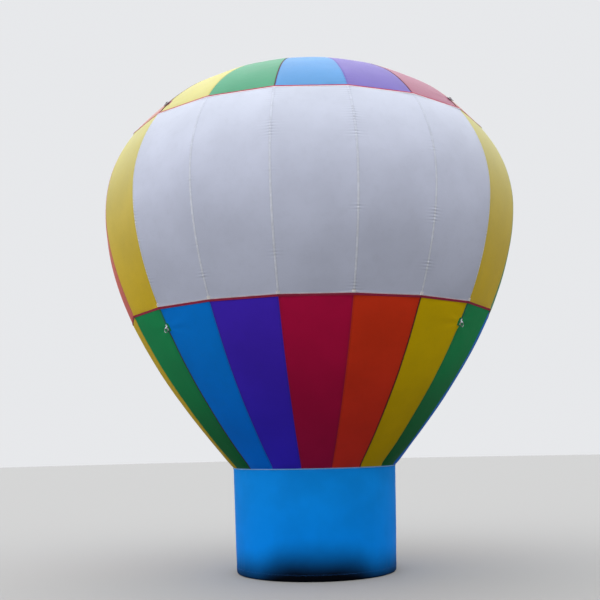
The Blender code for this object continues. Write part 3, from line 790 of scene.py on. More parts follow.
def drum_material():
    """Coated cloth, painted a little darker lower down, with a near-black painted shadow that
    rises from the hem, highest at the front.
    """
    made, graph, shader = new_material("drum_nylon")
    _, run, seam, spot = surface_inputs(graph)
    _, y, z = spot.parts()
    large = graph.noise(spot, 2.2, 3.0)
    fine = graph.noise(spot, 18.0, 4.0, 0.6)
    # Painted shade: the blue is a little darker lower down
    base = mix_colour(graph, z.ramp(0.3, 1.2), (0.001, 0.250, 0.860), (0.003, 0.285, 0.890))
    shade = toned(graph, base, large.ramp(0.3, 0.7, 0.94, 1.06))
    thread = stitches(run, STITCH_PITCH, STITCH_FILL, seam, (0.006, 0.014), STITCH_HALF_WIDTH)
    shade = mix_colour(graph, thread * 0.7, shade, (0.001, 0.10, 0.40))
    # Painted shadow at the hem: near-black, rising highest at the front, with a ragged edge
    blotches = graph.noise(spot, 3.5, 3.0)
    front = (y / BASE_BOTTOM_RADIUS * -1.0).ramp(0.68, 1.0)
    rise = z + blotches.ramp(0.3, 0.7, -0.008, 0.008) - front * 0.13
    lit_share = rise.ramp(-0.08, 0.36)
    shade = mix_colour(graph, lit_share, (0.0006, 0.0014, 0.004), shade)
    set_surface(graph, shader, shade, lit_share * -0.25 + 0.75, thread * 0.0004 + fine * 0.0010,
                CLOTH_GLOSS)
    return made


def plain_material(name, colour, roughness, metallic=0.0, grain=60.0):
    """Moulded or metal surface with a fine grain, handling marks and grime spots."""
    made, graph, shader = new_material(name)
    spot = graph.out("ShaderNodeTexCoord", output="Object")
    fine = graph.noise(spot, grain, 4.0, 0.6)
    marks = graph.noise(spot, 9.0, 5.0, 0.7)
    shade = toned(graph, colour, marks.ramp(0.35, 0.7, 0.88, 1.12))
    if not metallic:
        shade = mix_colour(graph, marks.ramp(0.5, 0.8) * 0.25, shade, (0.16, 0.14, 0.12))
    rough = marks.ramp(0.3, 0.7, roughness - 0.06, roughness + 0.1)
    set_surface(graph, shader, shade, rough, fine * 0.0002, {"Metallic": metallic})
    return made


cloth_finish = {}
sheen_glare_finish = {}
for shade_name, colours in CLOTH_COLOURS.items():
    thread_colour = [0.4 * c + 0.02 for c in colours[1]]
    # The white cloth gets a lighter seam allowance and no dark seam line of grime and painted
    # shade
    unshaded_seams = {"lap_share": 0.06, "seam_grime_and_shade": 0.0} if shade_name == "white" else {}
    cloth_finish[shade_name] = cloth_material(f"{shade_name}_nylon", colours, TOP_LIGHT_HEIGHTS,
                                              thread_colour, **unshaded_seams)
    # Crown and side gores: more sheen, and the top colour's painted light from lower down
    if shade_name in COLOUR_CYCLE:
        sheen_glare_finish[shade_name] = cloth_material(f"sheen_glare_{shade_name}_nylon", colours,
                                                 GLARE_TOP_LIGHT_HEIGHTS, thread_colour, sheen=0.15)
drum_nylon = drum_material()
red_webbing = webbing_material("red_webbing", (0.400, 0.026, 0.070), (0.30, 0.08, 0.08))
dark_webbing = webbing_material("dark_red_webbing", (0.075, 0.013, 0.022), (0.16, 0.05, 0.05))
pale_webbing = webbing_material("pale_webbing", (0.800, 0.830, 0.930), (0.70, 0.72, 0.80),
                                (0.570, 0.605, 0.715))
pink_webbing = webbing_material("pink_webbing", (0.760, 0.680, 0.740), (0.60, 0.52, 0.56))
strap_webbing = webbing_material("green_webbing", (0.020, 0.210, 0.110), (0.10, 0.30, 0.20))
knot_webbing = webbing_material("knot_webbing", (0.900, 0.870, 0.880), (0.60, 0.58, 0.60))
neck_webbing = webbing_material("neck_webbing", (0.22, 0.42, 0.72), (0.12, 0.26, 0.50))
ring_steel = plain_material("zinc_steel", (0.36, 0.37, 0.39), 0.38, 1.0, 220.0)
pale_thread = plain_material("pale_thread", (0.55, 0.55, 0.50), 0.75)
blue_thread = plain_material("blue_thread", (0.004, 0.12, 0.42), 0.75)
black_plastic = plain_material("black_plastic", (0.012, 0.013, 0.015), 0.42, 0.0, 300.0)
blower_plastic = plain_material("blower_plastic", (0.020, 0.022, 0.025), 0.45, 0.0, 260.0)
motor_grey = plain_material("motor_grey", (0.075, 0.080, 0.085), 0.50, 0.0, 180.0)
rubber = plain_material("rubber", (0.012, 0.012, 0.012), 0.80, 0.0, 150.0)
wheel_plastic = plain_material("wheel_plastic", (0.060, 0.060, 0.062), 0.50, 0.0, 260.0)


# Anchors

def row_point(start, end, spans, index):
    """A row of the CAD panels between two seams."""
    first = start + GAP / 2
    return ENVELOPE.at(first + (end - start - GAP) * index / spans)[0]


# Each tier's anchors: their seam, the next row of the panels and the way from one to the other
LOWER_ANCHOR = (LOWER_SEAM, row_point(0.0, LOWER_SEAM, LOWER_SPANS, LOWER_SPANS - 1), LOWER_DROP)
UPPER_ANCHOR = (UPPER_SEAM, row_point(UPPER_SEAM, CROWN_END, CROWN_SPANS, 1), UPPER_RISE)


def anchor_chord(anchor):
    """Point of an anchor on the CAD's flat facet, with the facet's outward normal."""
    seam, row, distance = anchor
    point = ENVELOPE.at(seam)[0]
    along = (row - point).normalized()
    normal = Vector((along.y, -along.x))
    if normal.x < 0:
        normal.negate()
    return point + distance * along, normal


def anchor_frame(anchor, angle):
    """Local X is the pin, local Y points down the surface, local Z points away from it."""
    point, normal = anchor_chord(anchor)
    turn = angle + PATTERN_TURN
    radial = Vector((math.sin(turn), -math.cos(turn), 0.0))
    pin = Vector((-math.cos(turn), -math.sin(turn), 0.0))
    away = normal.x * radial + Vector((0.0, 0.0, normal.y))
    lift = GAP + TAPE_THICKNESS + PIN_HEIGHT
    return frame_at(place(angle, point.x, point.y) + lift * away, pin, away.cross(pin), away)


def anchor_stand(anchor, length):
    """How far the CAD's flat facet lies from the true curve at an anchor."""
    point, normal = anchor_chord(anchor)
    return (point - ENVELOPE.at(length)[0]).dot(normal)


# Envelope panels

def anchor_points():
    """The anchors as points that carry their angle and their length along the envelope."""
    mesh = bpy.data.meshes.new("anchor_points")
    places = [(angle, seam) for seam in (LOWER_SEAM - LOWER_DROP, UPPER_SEAM + UPPER_RISE)
              for angle in ANCHOR_ANGLES.values()]
    spots = [place(angle, *ENVELOPE.at(seam)[0]) for angle, seam in places]
    mesh.from_pydata(spots, [], [])
    layer = mesh.attributes.new("anchor", "FLOAT_VECTOR", "POINT")
    for item, (angle, seam) in zip(layer.data, places):
        item.vector = (angle, seam, 0.0)
    return bpy.data.objects.new("anchor_points", mesh)


panel = panel_tree()
load_tape = load_tape_tree()
anchor_patch = anchor_patch_tree()
envelope_line = profile_line("envelope_line", ENVELOPE)
anchors = anchor_points()


def stretch_between(start, end):
    """The cloth between two seams, all of it used."""
    return {"Start": start, "End": end, "From": start, "To": end}


PLAIN = {"Lobe": 0.0, "Crease": 0.0, "Pucker": 0.0, "Gather": 0.0, "Wave": 0.0, "Tug": 0.0}
WHOLE_RING = {"Gores": GORE_COUNT, "First Angle": math.radians(-190), "Ring": True}
LOWER_TIER = {**stretch_between(0.0, LOWER_SEAM),
              "Anchor Stand": anchor_stand(LOWER_ANCHOR, LOWER_SEAM - LOWER_DROP)}
SIDE_TIER = stretch_between(LOWER_SEAM, UPPER_SEAM)
BANNER_TIER = {**SIDE_TIER, "Pucker": 0.0032, "Pitch": 0.033, "Reach": 0.035, "Crease": 0.0005,
               "Gather": 0.0012, "Lobe": 0.004}
CROWN_TIER = {**stretch_between(UPPER_SEAM, CROWN_END),
              "Anchor Stand": anchor_stand(UPPER_ANCHOR, UPPER_SEAM + UPPER_RISE)}


def add_cloth(name, tree, sizes, node=None):
    """Grows a piece of cloth, on the envelope unless its sizes name another profile."""
    piece = grow(name, tree, {"Profile": envelope_line, "Anchors": anchors, **sizes})
    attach(piece, "balloon")
    if node:
        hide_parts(node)
    return piece


def cycle_colour(gore, shift):
    """Colour of a gore; the shift moves the cycle round from tier to tier."""
    return COLOUR_CYCLE[(gore + shift) % len(COLOUR_CYCLE)]


def sew_panel(node, colour, finish, tier, first_gore, gores=1, rows=GORE_ROWS):
    """Makes the cloth that stands for one CAD panel."""
    piece = add_cloth(f"{node}_cloth", panel, {
        **tier, "First Angle": (first_gore - 0.5) * GORE_ANGLE, "Gores": gores, "Rows": rows,
        "Material": finish[colour]}, node)
    start = tier["Start"]
    end = tier["End"]
    angle = gores * GORE_ANGLE
    radii = [ENVELOPE.at(start + (end - start) * share)[0].x for share in shares(24)]
    end - start
    ENVELOPE.flat_area(start, end, angle)


for gore in range(GORE_COUNT):
    label = f"{gore:02d}"
    signed = gore if gore <= GORE_COUNT // 2 else gore - GORE_COUNT
    sew_panel(f"lower_gore_{label}", cycle_colour(gore, 3), cloth_finish, LOWER_TIER, signed)
    sew_panel(f"crown_gore_{label}", cycle_colour(signed, 1), sheen_glare_finish, CROWN_TIER, signed)
    if BANNER_REACH < abs(signed) < SIDE_END:
        sew_panel(f"side_gore_{label}", cycle_colour(signed, 2), sheen_glare_finish, SIDE_TIER, signed)
for banner, first_gore in (("front_banner", -BANNER_REACH), ("back_banner", SIDE_END)):
    sew_panel(banner, "white", cloth_finish, BANNER_TIER, first_gore, BANNER_GORES, BANNER_ROWS)


# Tapes, hems and patches on the envelope

def add_band(name, tier, centre, half_width, sizes, node=None):
    """A smooth band along the envelope, centred at a length from the neck."""
    add_cloth(name, panel, {
        **tier, **PLAIN, "From": centre - half_width, "To": centre + half_width, "Rows": 4,
        **sizes}, node)


def sew_tapes(name, slot_name, sizes, first_angle, step, count, width, finish):
    """Narrow tapes over several gore seams of one tier, in one piece."""
    add_cloth(name, load_tape, {
        **sizes, "First Angle": math.radians(first_angle), "Angle Step": math.radians(step),
        "Count": count, "Width": width, "Material": finish})


for tier_name, seam, half, tier in (("lower", LOWER_SEAM, LOWER_TAPE_HALF_WIDTH, LOWER_TIER),
                                    ("upper", UPPER_SEAM, UPPER_TAPE_HALF_WIDTH, SIDE_TIER)):
    add_band(f"{tier_name}_seam_webbing", tier, seam, half - TAPE_INSET, {
        **WHOLE_RING, "Lift": GAP + TAPE_THICKNESS, "Thickness": TAPE_THICKNESS,
        "Material": red_webbing}, f"{tier_name}_seam_tape")
for side, first_gore in (("front", -BANNER_REACH), ("back", SIDE_END)):
    for edge, centre in (("lower", LOWER_SEAM + LOWER_TAPE_HALF_WIDTH),
                         ("upper", UPPER_SEAM - UPPER_TAPE_HALF_WIDTH - TAPE_INSET)):
        add_band(f"{side}_banner_{edge}_hem", SIDE_TIER, centre, HEM_HALF_WIDTH, {
            "Gores": BANNER_GORES, "First Angle": (first_gore - 0.5) * GORE_ANGLE,
            "Lift": 0.0022, "Thickness": 0.002, "Material": pink_webbing})

strap = {"Lift": 0.0028, "Puff": 0.0, "Thickness": 0.002}
lower_strap = {**LOWER_TIER, **strap, "From": LOWER_SEAM - LOWER_DROP - STRAP_TAIL, "Rows": 40}
upper_strap = {**CROWN_TIER, **strap, "To": UPPER_SEAM + UPPER_RISE + STRAP_TAIL, "Rows": 24}
banner_tape = {**BANNER_TIER, "Rows": BANNER_ROWS}
tab_start = LOWER_SEAM + LOWER_TAPE_HALF_WIDTH
banner_tab = {**BANNER_TIER, "From": tab_start, "To": tab_start + TAB_LENGTH, "Rows": 12,
              "Puff": 0.005, "Lift": 0.0040}
# Front and back name, slot, sizes, first angle, step, count, width and finish
TAPES = (
    (("lower_front_straps", "lower_back_straps"), "seam_webbing", lower_strap, -50, 100, 2,
     2 * STRAP_HALF_WIDTH, strap_webbing),
    (("upper_front_straps", "upper_back_straps"), "seam_webbing", upper_strap, -50, 100, 2,
     2 * STRAP_HALF_WIDTH, dark_webbing),
    (("front_load_tapes", "back_load_tapes"), "seam_webbing", LOWER_TIER, -50, 80, 2,
     LOAD_TAPE_WIDTH, dark_webbing),
    (("front_banner_tapes", "back_banner_tapes"), "white_fabric", banner_tape, -30, 20, 4,
     BANNER_TAPE_WIDTH, pale_webbing),
    (("banner_edge_tapes", "back_banner_edge_tapes"), "white_fabric", SIDE_TIER, -50, 100, 2,
     BANNER_TAPE_WIDTH, pale_webbing),
    (("front_banner_tabs", "back_banner_tabs"), "white_fabric", banner_tab, -50, 20, 6,
     TAB_WIDTH, knot_webbing),
)
for names, slot_name, sizes, first, *row_sizes in TAPES:
    for name, half_turn in zip(names, (0, 180)):
        sew_tapes(name, slot_name, sizes, first + half_turn, *row_sizes)
sew_tapes("crown_load_tapes", "seam_webbing", stretch_between(UPPER_SEAM, CROWN_END), -10, 40,
          9, CROWN_TAPE_WIDTH, dark_webbing)
for tier_name, tier, colour in (("lower", LOWER_TIER, "green"), ("upper", CROWN_TIER, "crimson")):
    add_cloth(f"{tier_name}_anchor_patches", anchor_patch, {
        **tier, "Material": cloth_finish[colour]})

crown_patch = add_cloth("crown_patch_cloth", panel, {
    **CROWN_TIER, **WHOLE_RING, "From": ENVELOPE.lengths[-1] - CROWN_PATCH_RADIUS,
    "To": ENVELOPE.lengths[-1], "Columns": 4, "Rows": 24, "Lift": 0.003, "Thickness": 0.002,
    "Material": cloth_finish["white"]}, "crown_patch")


# Solids

def finish_piece(piece, body="balloon", node=None, sharp=40):
    """Gives a piece its shading and its body, and hides the CAD node that it stands for."""
    piece.data.shade_smooth()
    piece.data.set_sharp_from_angle(angle=math.radians(sharp))
    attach(piece, body)
    if node:
        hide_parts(node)
    return piece


def pattern_piece(name, bm):
    """A small shape for a tree to copy; it isn't linked to the scene."""
    bmesh.ops.recalc_face_normals(bm, faces=bm.faces)
    mesh = bpy.data.meshes.new(name)
    bm.to_mesh(mesh)
    bm.free()
    return bpy.data.objects.new(name, mesh)


def build(name, bm, finish, body="balloon", node=None, sharp=40):
    """Makes a finished piece of a bmesh."""
    piece = pattern_piece(name, bm)
    piece.data.materials.append(finish)
    bpy.context.collection.objects.link(piece)
    return finish_piece(piece, body, node, sharp)


def join_rings(bm, rings, closed):
    """Faces between rings of points; a ring of one point is a pole."""
    pairs = list(zip(rings, rings[1:]))
    if closed:
        pairs.append((rings[-1], rings[0]))
    for near, far in pairs:
        count = max(len(near), len(far))
        for i in range(count):
            j = (i + 1) % count
            corners = [near[i % len(near)], near[j % len(near)], far[j % len(far)],
                       far[i % len(far)]]
            bm.faces.new(list(dict.fromkeys(corners)))


def turn_section(bm, section, facets, frame):
    """Turns a section of (radius, height) round local Z; it closes itself or ends at poles."""
    rings = []
    for radius, height in section:
        spots = [Vector((radius * math.cos(turn), radius * math.sin(turn), height))
                 for turn in turns(facets if radius > 0 else 1)]
        rings.append([bm.verts.new(frame @ spot) for spot in spots])
    join_rings(bm, rings, closed=section[0][0] > 0)


def draw_wire(bm, path, radius, sides, frame=Matrix.Identity(4), closed=True):
    """A round wire along a path that lies in one plane, mitred where it bends."""
    count = len(path)
    normal = (path[1] - path[0]).cross(path[count // 2] - path[0]).normalized()
    rings = []
    for i, here in enumerate(path):
        ahead = path[(i + 1) % count] - here if closed or i < count - 1 else here - path[i - 1]
        behind = here - path[i - 1] if closed or i > 0 else ahead
        along = (ahead.normalized() + behind.normalized()).normalized()
        across = along.cross(normal) / along.dot(ahead.normalized())
        rings.append([bm.verts.new(frame @ (here + radius * (
            math.cos(turn) * across + math.sin(turn) * normal))) for turn in turns(sides)])
    join_rings(bm, rings, closed)
    if not closed:
        bm.faces.new(rings[0])
        bm.faces.new(rings[-1])


def fold_strip(bm, path, thickness, half_width, frame=Matrix.Identity(4), sinks=None):
    """Flat webbing along a path of (y, z) points, as wide as twice the half width along X.

    Sinks say how far the webbing's edges drop below its middle at each point.
    """
    spots = [Vector(spot) for spot in path]
    skins = ([], [])
    for i, here in enumerate(spots):
        along = (spots[min(i + 1, len(spots) - 1)] - spots[max(i - 1, 0)]).normalized()
        side = Vector((-along.y, along.x)) * thickness / 2
        skins[0].append(here + side)
        skins[1].append(here - side)
    outline = skins[0] + skins[1][::-1]
    drops = sinks + sinks[::-1] if sinks else [0.0] * len(outline)
    rings = []
    for share in (-1.0, 0.0, 1.0) if sinks else (-1.0, 1.0):
        rings.append([bm.verts.new(frame @ Vector((
            share * half_width, spot.x, spot.y - abs(share) * drop)))
            for spot, drop in zip(outline, drops)])
    join_rings(bm, rings, closed=False)
    count = len(spots)
    for ring in (rings[0], rings[-1]):
        for i in range(count - 1):
            bm.faces.new((ring[i], ring[i + 1], ring[-2 - i], ring[-1 - i]))


def rounded_box(bm, low, high, rounding, frame):
    """A box with rounded edges between two corners, its parts always in the same order."""
    size = [b - a for a, b in zip(low, high)]
    middle = [(a + b) / 2 for a, b in zip(low, high)]
    made = bmesh.ops.create_cube(bm, size=1.0, matrix=Matrix.Diagonal((*size, 1.0)))
    edges = dict.fromkeys(edge for vert in made["verts"] for edge in vert.link_edges)
    rounded = bmesh.ops.bevel(bm, geom=list(edges), offset=rounding, segments=2, profile=0.5,
                              affect="EDGES")
    verts = dict.fromkeys(vert for face in rounded["faces"] for vert in face.verts)
    bmesh.ops.transform(bm, matrix=frame @ Matrix.Translation(middle), verts=list(verts))


def arc(radius, start, end, steps, centre=(0.0, 0.0)):
    """Points of a flat path along an arc between two angles in degrees."""
    angles = [math.radians(start + (end - start) * share) for share in shares(steps)]
    return [(centre[0] + radius * math.cos(a), centre[1] + radius * math.sin(a)) for a in angles]


def turned_solid(name, section, finish, frame, facets=72, sharp=40, body="balloon",
                 node=None):
    """A finished piece turned from a section of (radius, height)."""
    bm = bmesh.new()
    turn_section(bm, section, facets, frame)
    return build(name, bm, finish, body, node, sharp)


def turned_pattern(name, section, facets, frame=Matrix.Identity(4)):
    """A small turned shape for a tree to copy."""
    bm = bmesh.new()
    turn_section(bm, section, facets, frame)
    return pattern_piece(name, bm)


def joined_boxes(boxes, frame=Matrix.Identity(4)):
    """Rounded boxes, each given by its low corner, its high corner and its rounding."""
    bm = bmesh.new()
    for low, high, rounding in boxes:
        rounded_box(bm, low, high, rounding, frame)
    return bm


def row_tree():
    """Copies of a piece in a row: local Z follows the path and local X looks towards Up."""
    graph, size = new_tree("Pieces in a row", {
        "Path": "Object", "Piece": "Object", "Up": "Vector", "Count": 10,
        "Material": "Material"})
    even = graph.out("GeometryNodeResampleCurve", {
        "Curve": object_shape(graph, size["Path"]), "Count": size["Count"]}, mode="COUNT")
    along = graph.out("GeometryNodeInputTangent")
    turn = graph.out("FunctionNodeAxesToRotation", {
        "Primary Axis": along, "Secondary Axis": size["Up"]},
        primary_axis="Z", secondary_axis="X")
    copies = graph.out("GeometryNodeInstanceOnPoints", {
        "Points": even, "Instance": object_shape(graph, size["Piece"]), "Rotation": turn})
    return end_tree(graph, copies, size["Material"])


row = row_tree()
thread = turned_pattern("thread", [(0.0, -0.0022), (0.0006, -0.0016), (0.0006, 0.0016),
                                   (0.0, 0.0022)], 6)
# A pan head with a cross recess, its axis along local X
screw = turned_pattern("screw", [
    (0.0, -0.001), (0.0044, -0.001), (0.0044, 0.0006), (0.0036, 0.0018), (0.0022, 0.0023),
    (0.0014, 0.0012), (0.0, 0.0012)], 10, turned_frame((0.0, 0.0, 0.0), "Y", 90))


def set_in_row(name, paths, piece, count, up, finish, body="balloon", closed=True):
    """Copies of a small shape along lines, as one piece."""
    made = grow(name, row, {
        "Path": guide_lines(f"{name}_line", paths, closed), "Piece": piece, "Count": count,
        "Up": up, "Material": finish})
    return finish_piece(made, body)


def sew_rows(name, paths, count, finish, up=THREAD_UP):
    """Rows of stitches."""
    set_in_row(name, paths, thread, count, up, finish)


# Rings, loops and stitches at the anchors

def ring_path():
    """A D with rounded corners: the pin along X, two shoulders and the bow below."""
    bend = 0.008
    side = RING_HALF_WIDTH - bend
    corner = arc(bend, -90, 0, 6, (side, bend))
    bow = arc(RING_HALF_WIDTH, 0, 180, 24, (0.0, RING_SHOULDER))
    other = arc(bend, 180, 270, 6, (-side, bend))
    return [Vector((x, y, 0.0)) for x, y in corner + bow + other]


def loop_path():
    """Webbing over the pin, with both tails flat on the strap."""
    floor = -PIN_HEIGHT + 0.0008
    top = arc(0.0066, 0, 180, 12)
    tail = [(0.034, floor), (0.018, floor), (0.0115, floor + 0.0008), (0.0078, floor + 0.0045)]
    return tail + top + [(-y, z) for y, z in tail[::-1]]


def stitch_box(frame, centre):
    """A square of stitches on a loop's tail, centred at a distance below the pin."""
    half_x = 0.0095
    half_y = 0.0070
    height = 0.0020 - PIN_HEIGHT
    corners = [(-1, -1), (1, -1), (1, 1), (-1, 1)]
    spots = []
    for here, ahead in zip(corners, corners[1:] + corners[:1]):
        for share in shares(8)[:-1]:
            x = here[0] + (ahead[0] - here[0]) * share
            y = here[1] + (ahead[1] - here[1]) * share
            spots.append(frame @ Vector((x * half_x, centre + y * half_y, height)))
    return spots


def fit_anchors(tier, anchor, hangs_free, webbing):
    """Loops, their stitches and the D-rings of one tier."""
    box_distance = 0.0245
    loops = bmesh.new()
    boxes = []
    for label, angle in ANCHOR_ANGLES.items():
        frame = anchor_frame(anchor, angle)
        path = loop_path()
        fall = LOOP_HALF_WIDTH * math.tan(GORE_ANGLE / 2) * frame.col[2].to_2d().length
        floor = path[0][1]
        sinks = [fall * max(0.0, 1.0 - (z - floor) / 0.006) for _, z in path]
        fold_strip(loops, path, 0.0022, LOOP_HALF_WIDTH, frame, sinks)
        boxes += [stitch_box(frame, side * box_distance) for side in (-1, 1)]
        if hangs_free:
            pin = frame.col[0].to_3d()
            down = Vector((0.0, 0.0, -1.0))
            frame = frame_at(frame.translation, pin, down, pin.cross(down))
        ring = bmesh.new()
        draw_wire(ring, ring_path(), RING_WIRE, 16, frame)
        node = f"{tier}_ring_{label}"
        build(f"{node}_steel", ring, ring_steel, node, node)
    build(f"{tier}_webbing_loops", loops, webbing, sharp=60)
    sew_rows(f"{tier}_loop_stitches", boxes, 26, pale_thread)


fit_anchors("lower", LOWER_ANCHOR, True, pale_webbing)
fit_anchors("upper", UPPER_ANCHOR, False, dark_webbing)
crown_rows = []
for inset in (0.008, 0.016):
    point, out = ENVELOPE.at(ENVELOPE.lengths[-1] - CROWN_PATCH_RADIUS + inset)
    spot = point + 0.0032 * out
    crown_rows.append([place(turn, spot.x, spot.y) for turn in turns(96)])
sew_rows("crown_patch_stitches", crown_rows, 190, pale_thread)


# Drum base

def drum_points():
    """The drum's outline: along the floor from the axis, round the hem and up to the neck."""
    flat = BASE_BOTTOM_RADIUS - DRUM_HEM_ROUND
    top = BASE_HEIGHT - GAP
    points = [Vector((flat * share, 0.0)) for share in shares(30)]
    for share in shares(8)[1:]:
        turn = math.pi / 2 * share
        points.append(Vector((flat + DRUM_HEM_ROUND * math.sin(turn),
                              DRUM_HEM_ROUND * (1 - math.cos(turn)))))
    for share in shares(60)[1:]:
        points.append(Vector((BASE_BOTTOM_RADIUS + (NECK_RADIUS - BASE_BOTTOM_RADIUS) * share,
                              DRUM_HEM_ROUND + (top - DRUM_HEM_ROUND) * share)))
    return points


DRUM = Profile(drum_points())
DRUM_TOP = DRUM.lengths[-1]
DRUM_FOOT = DRUM.length_where(lambda point: point.y >= DRUM_HEM_ROUND)
drum_line = profile_line("drum_line", DRUM)
drum = add_cloth("drum_cloth", panel, {
    "Profile": drum_line, "Start": DRUM_FOOT, "End": DRUM_TOP, "From": 0.0, "To": DRUM_TOP,
    "Gore Angle": math.pi, "Gores": 2, "First Angle": math.radians(-90), "Columns": 112,
    "Crowding": 0.2, "Rows": 150, "Ring": True, "Flatness": 0.0, "Lobe": 0.0, "Crease": 0.003,
    "Crease Width": 0.012, "Pucker": 0.0012, "Gather": 0.0035, "Gather Reach": 0.10,
    "Wave": 0.007, "Wave Size": 0.40, "Fade": 0.03, "Seed": 4.0, "Material": drum_nylon},
    "drum")
DRUM.flat_area(0.0, DRUM_TOP, 2 * math.pi)


def turned_cloth(name, line, sizes, frame, finish):
    """A ring of cloth grown round local Z and then laid in its place."""
    made = grow(name, panel, {
        "Profile": line, "Anchors": anchors, "Gore Angle": math.radians(60), "Gores": 6,
        "Flatness": 0.0, "Ring": True, "Material": finish, **sizes})
    made.data.transform(frame)
    return finish_piece(made, sharp=50)


# Inflation sleeve, with its collar on the drum and its cinch strap round the spout

SPOUT_FRAME = turned_frame((0.0, 0.0, SPOUT_HEIGHT), "X", -90)
SLEEVE_FULLNESS = 0.004
CINCH = 1.378
CINCH_DEPTH = 0.0022
CINCH_REACH = 0.018
STRAP_WIDTH = 0.025


def sleeve_points():
    """The sleeve's outline: full where air pushes it out and drawn in by the cinch strap."""
    points = []
    for share in shares(60):
        y = SLEEVE_ROOT + (SLEEVE_TIP - 0.002 - SLEEVE_ROOT) * share
        drawn = CINCH_DEPTH * math.exp(-((y - CINCH) / CINCH_REACH) ** 2)
        along = max(0.0, min((y - NECK_RADIUS) / (CINCH - NECK_RADIUS), 1.0))
        full = SLEEVE_FULLNESS * math.sin(math.pi * along)
        points.append(Vector((SLEEVE_RADIUS + full - drawn, y)))
    return points


SLEEVE = Profile(sleeve_points())
SLEEVE_LENGTH = SLEEVE.lengths[-1]
sleeve = turned_cloth("inflation_sleeve", profile_line("sleeve_line", SLEEVE), {
    **stretch_between(0.0, SLEEVE_LENGTH), "Columns": 18, "Rows": 100, "Lobe": 0.001,
    "Crease": 0.0015, "Crease Width": 0.006, "Pucker": 0.0016, "Pitch": 0.028, "Reach": 0.04,
    "Gather": 0.0020, "Gather Reach": 0.09, "Wave": 0.0040, "Wave Size": 0.10, "Fade": 0.02,
    "Seed": 2.0}, SPOUT_FRAME, drum_nylon)
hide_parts("drum")
SLEEVE.flat_area(0.0, SLEEVE_LENGTH, 2 * math.pi)
strap_start = CINCH - STRAP_WIDTH / 2
strap_line = guide_lines("cinch_line", [
    [(0.1050, 0.0, strap_start + STRAP_WIDTH * share) for share in shares(8)]])
turned_cloth("cinch_strap", strap_line, {
    **PLAIN, **stretch_between(0.0, STRAP_WIDTH), "Columns": 12, "Rows": 6, "Lift": 0.0022,
    "Thickness": 0.0022}, SPOUT_FRAME, dark_webbing)


def collar_ring(radius, lift, facets):
    """A circle round the sleeve's root, at a distance off the drum's wall."""
    slope = (NECK_RADIUS - BASE_BOTTOM_RADIUS) / BASE_HEIGHT
    ring = []
    for turn in turns(facets):
        x = radius * math.cos(turn)
        z = SPOUT_HEIGHT + radius * math.sin(turn)
        wall = BASE_BOTTOM_RADIUS + slope * z
        ring.append(Vector((x, math.sqrt(wall * wall - x * x) + lift, z)))
    return ring


def add_sleeve_collar():
    """A sewn flange that lies on the drum round the sleeve."""
    bm = bmesh.new()
    section = ((0.1045, 0.016), (0.108, 0.009), (0.116, 0.0045), (0.140, 0.0035),
               (0.140, -0.004), (0.1045, -0.004))
    rings = [[bm.verts.new(spot) for spot in collar_ring(radius, lift, 72)]
             for radius, lift in section]
    join_rings(bm, rings, closed=True)
    build("sleeve_collar", bm, drum_nylon)
    rows = [collar_ring(radius, 0.0048, 90) for radius in (0.122, 0.134)]
    sew_rows("sleeve_collar_stitches", rows, 150, blue_thread, (0.0, 1.0, 0.0))


def add_cinch_buckle():
    """A ladder buckle on the cinch strap, with the strap's free end."""
    frame = SPOUT_FRAME @ turned_frame((0.0, 0.0, 0.0), "Z", 38)
    frame = frame @ Matrix.Translation((0.1074, 0.0, CINCH))
    bars = (((0.0, -0.020, -0.0165), (0.005, 0.020, -0.0130)),
            ((0.0, -0.020, 0.0130), (0.005, 0.020, 0.0165)),
            ((0.0, -0.020, -0.0165), (0.005, -0.016, 0.0165)),
            ((0.001, -0.003, -0.0150), (0.006, 0.003, 0.0150)),
            ((0.0, 0.016, -0.0165), (0.005, 0.020, 0.0165)))
    boxes = [(low, high, 0.0010) for low, high in bars]
    build("cinch_buckle", joined_boxes(boxes, frame), black_plastic)
    tail = bmesh.new()
    path = [(-0.012, 0.0085), (0.0, 0.0088), (0.020, 0.0075), (0.045, 0.0040), (0.070, -0.0035),
            (0.085, -0.0130)]
    turned = frame @ Matrix(((0, 0, 1, 0), (0, 1, 0, 0), (-1, 0, 0, 0), (0, 0, 0, 1)))
    fold_strip(tail, path, 0.0018, 0.0115, turned)
    build("cinch_strap_end", tail, dark_webbing, sharp=60)


add_sleeve_collar()
add_cinch_buckle()


# Tapes, hem and zip on the drum

def drum_spot(angle, length, lift):
    """World point at a distance off the drum's cloth."""
    point, out = DRUM.at(length)
    return place(angle, point.x + lift * out.x, point.y + lift * out.y, 0.0)


def drum_band(name, centre, half_width, lift, thickness, finish):
    """A smooth band round the drum, centred at a length along its outline."""
    turned_cloth(name, drum_line, {
        **PLAIN, "Start": DRUM_FOOT, "End": DRUM_TOP, "From": centre - half_width,
        "To": centre + half_width, "First Angle": math.radians(-210), "Columns": 24, "Rows": 4,
        "Lift": lift, "Thickness": thickness}, Matrix.Identity(4), finish)


drum_band("neck_piping", DRUM_TOP - 0.006, 0.005, 0.0040, 0.004, neck_webbing)
drum_band("drum_hem", DRUM_FOOT + 0.020, 0.020, 0.0022, 0.002, drum_nylon)
hem_rows = [[drum_spot(turn, DRUM_FOOT + height, 0.0026) for turn in turns(120)]
            for height in (0.030, 0.036)]
sew_rows("drum_hem_stitches", hem_rows, 820, blue_thread)

ZIP_ANGLE = math.radians(-150)
ZIP_FOOT = DRUM_FOOT + 0.10
ZIP_LENGTH = DRUM_TOP - 0.12 - ZIP_FOOT
ZIP_PITCH = 0.0052
ZIP_STEPS = 60


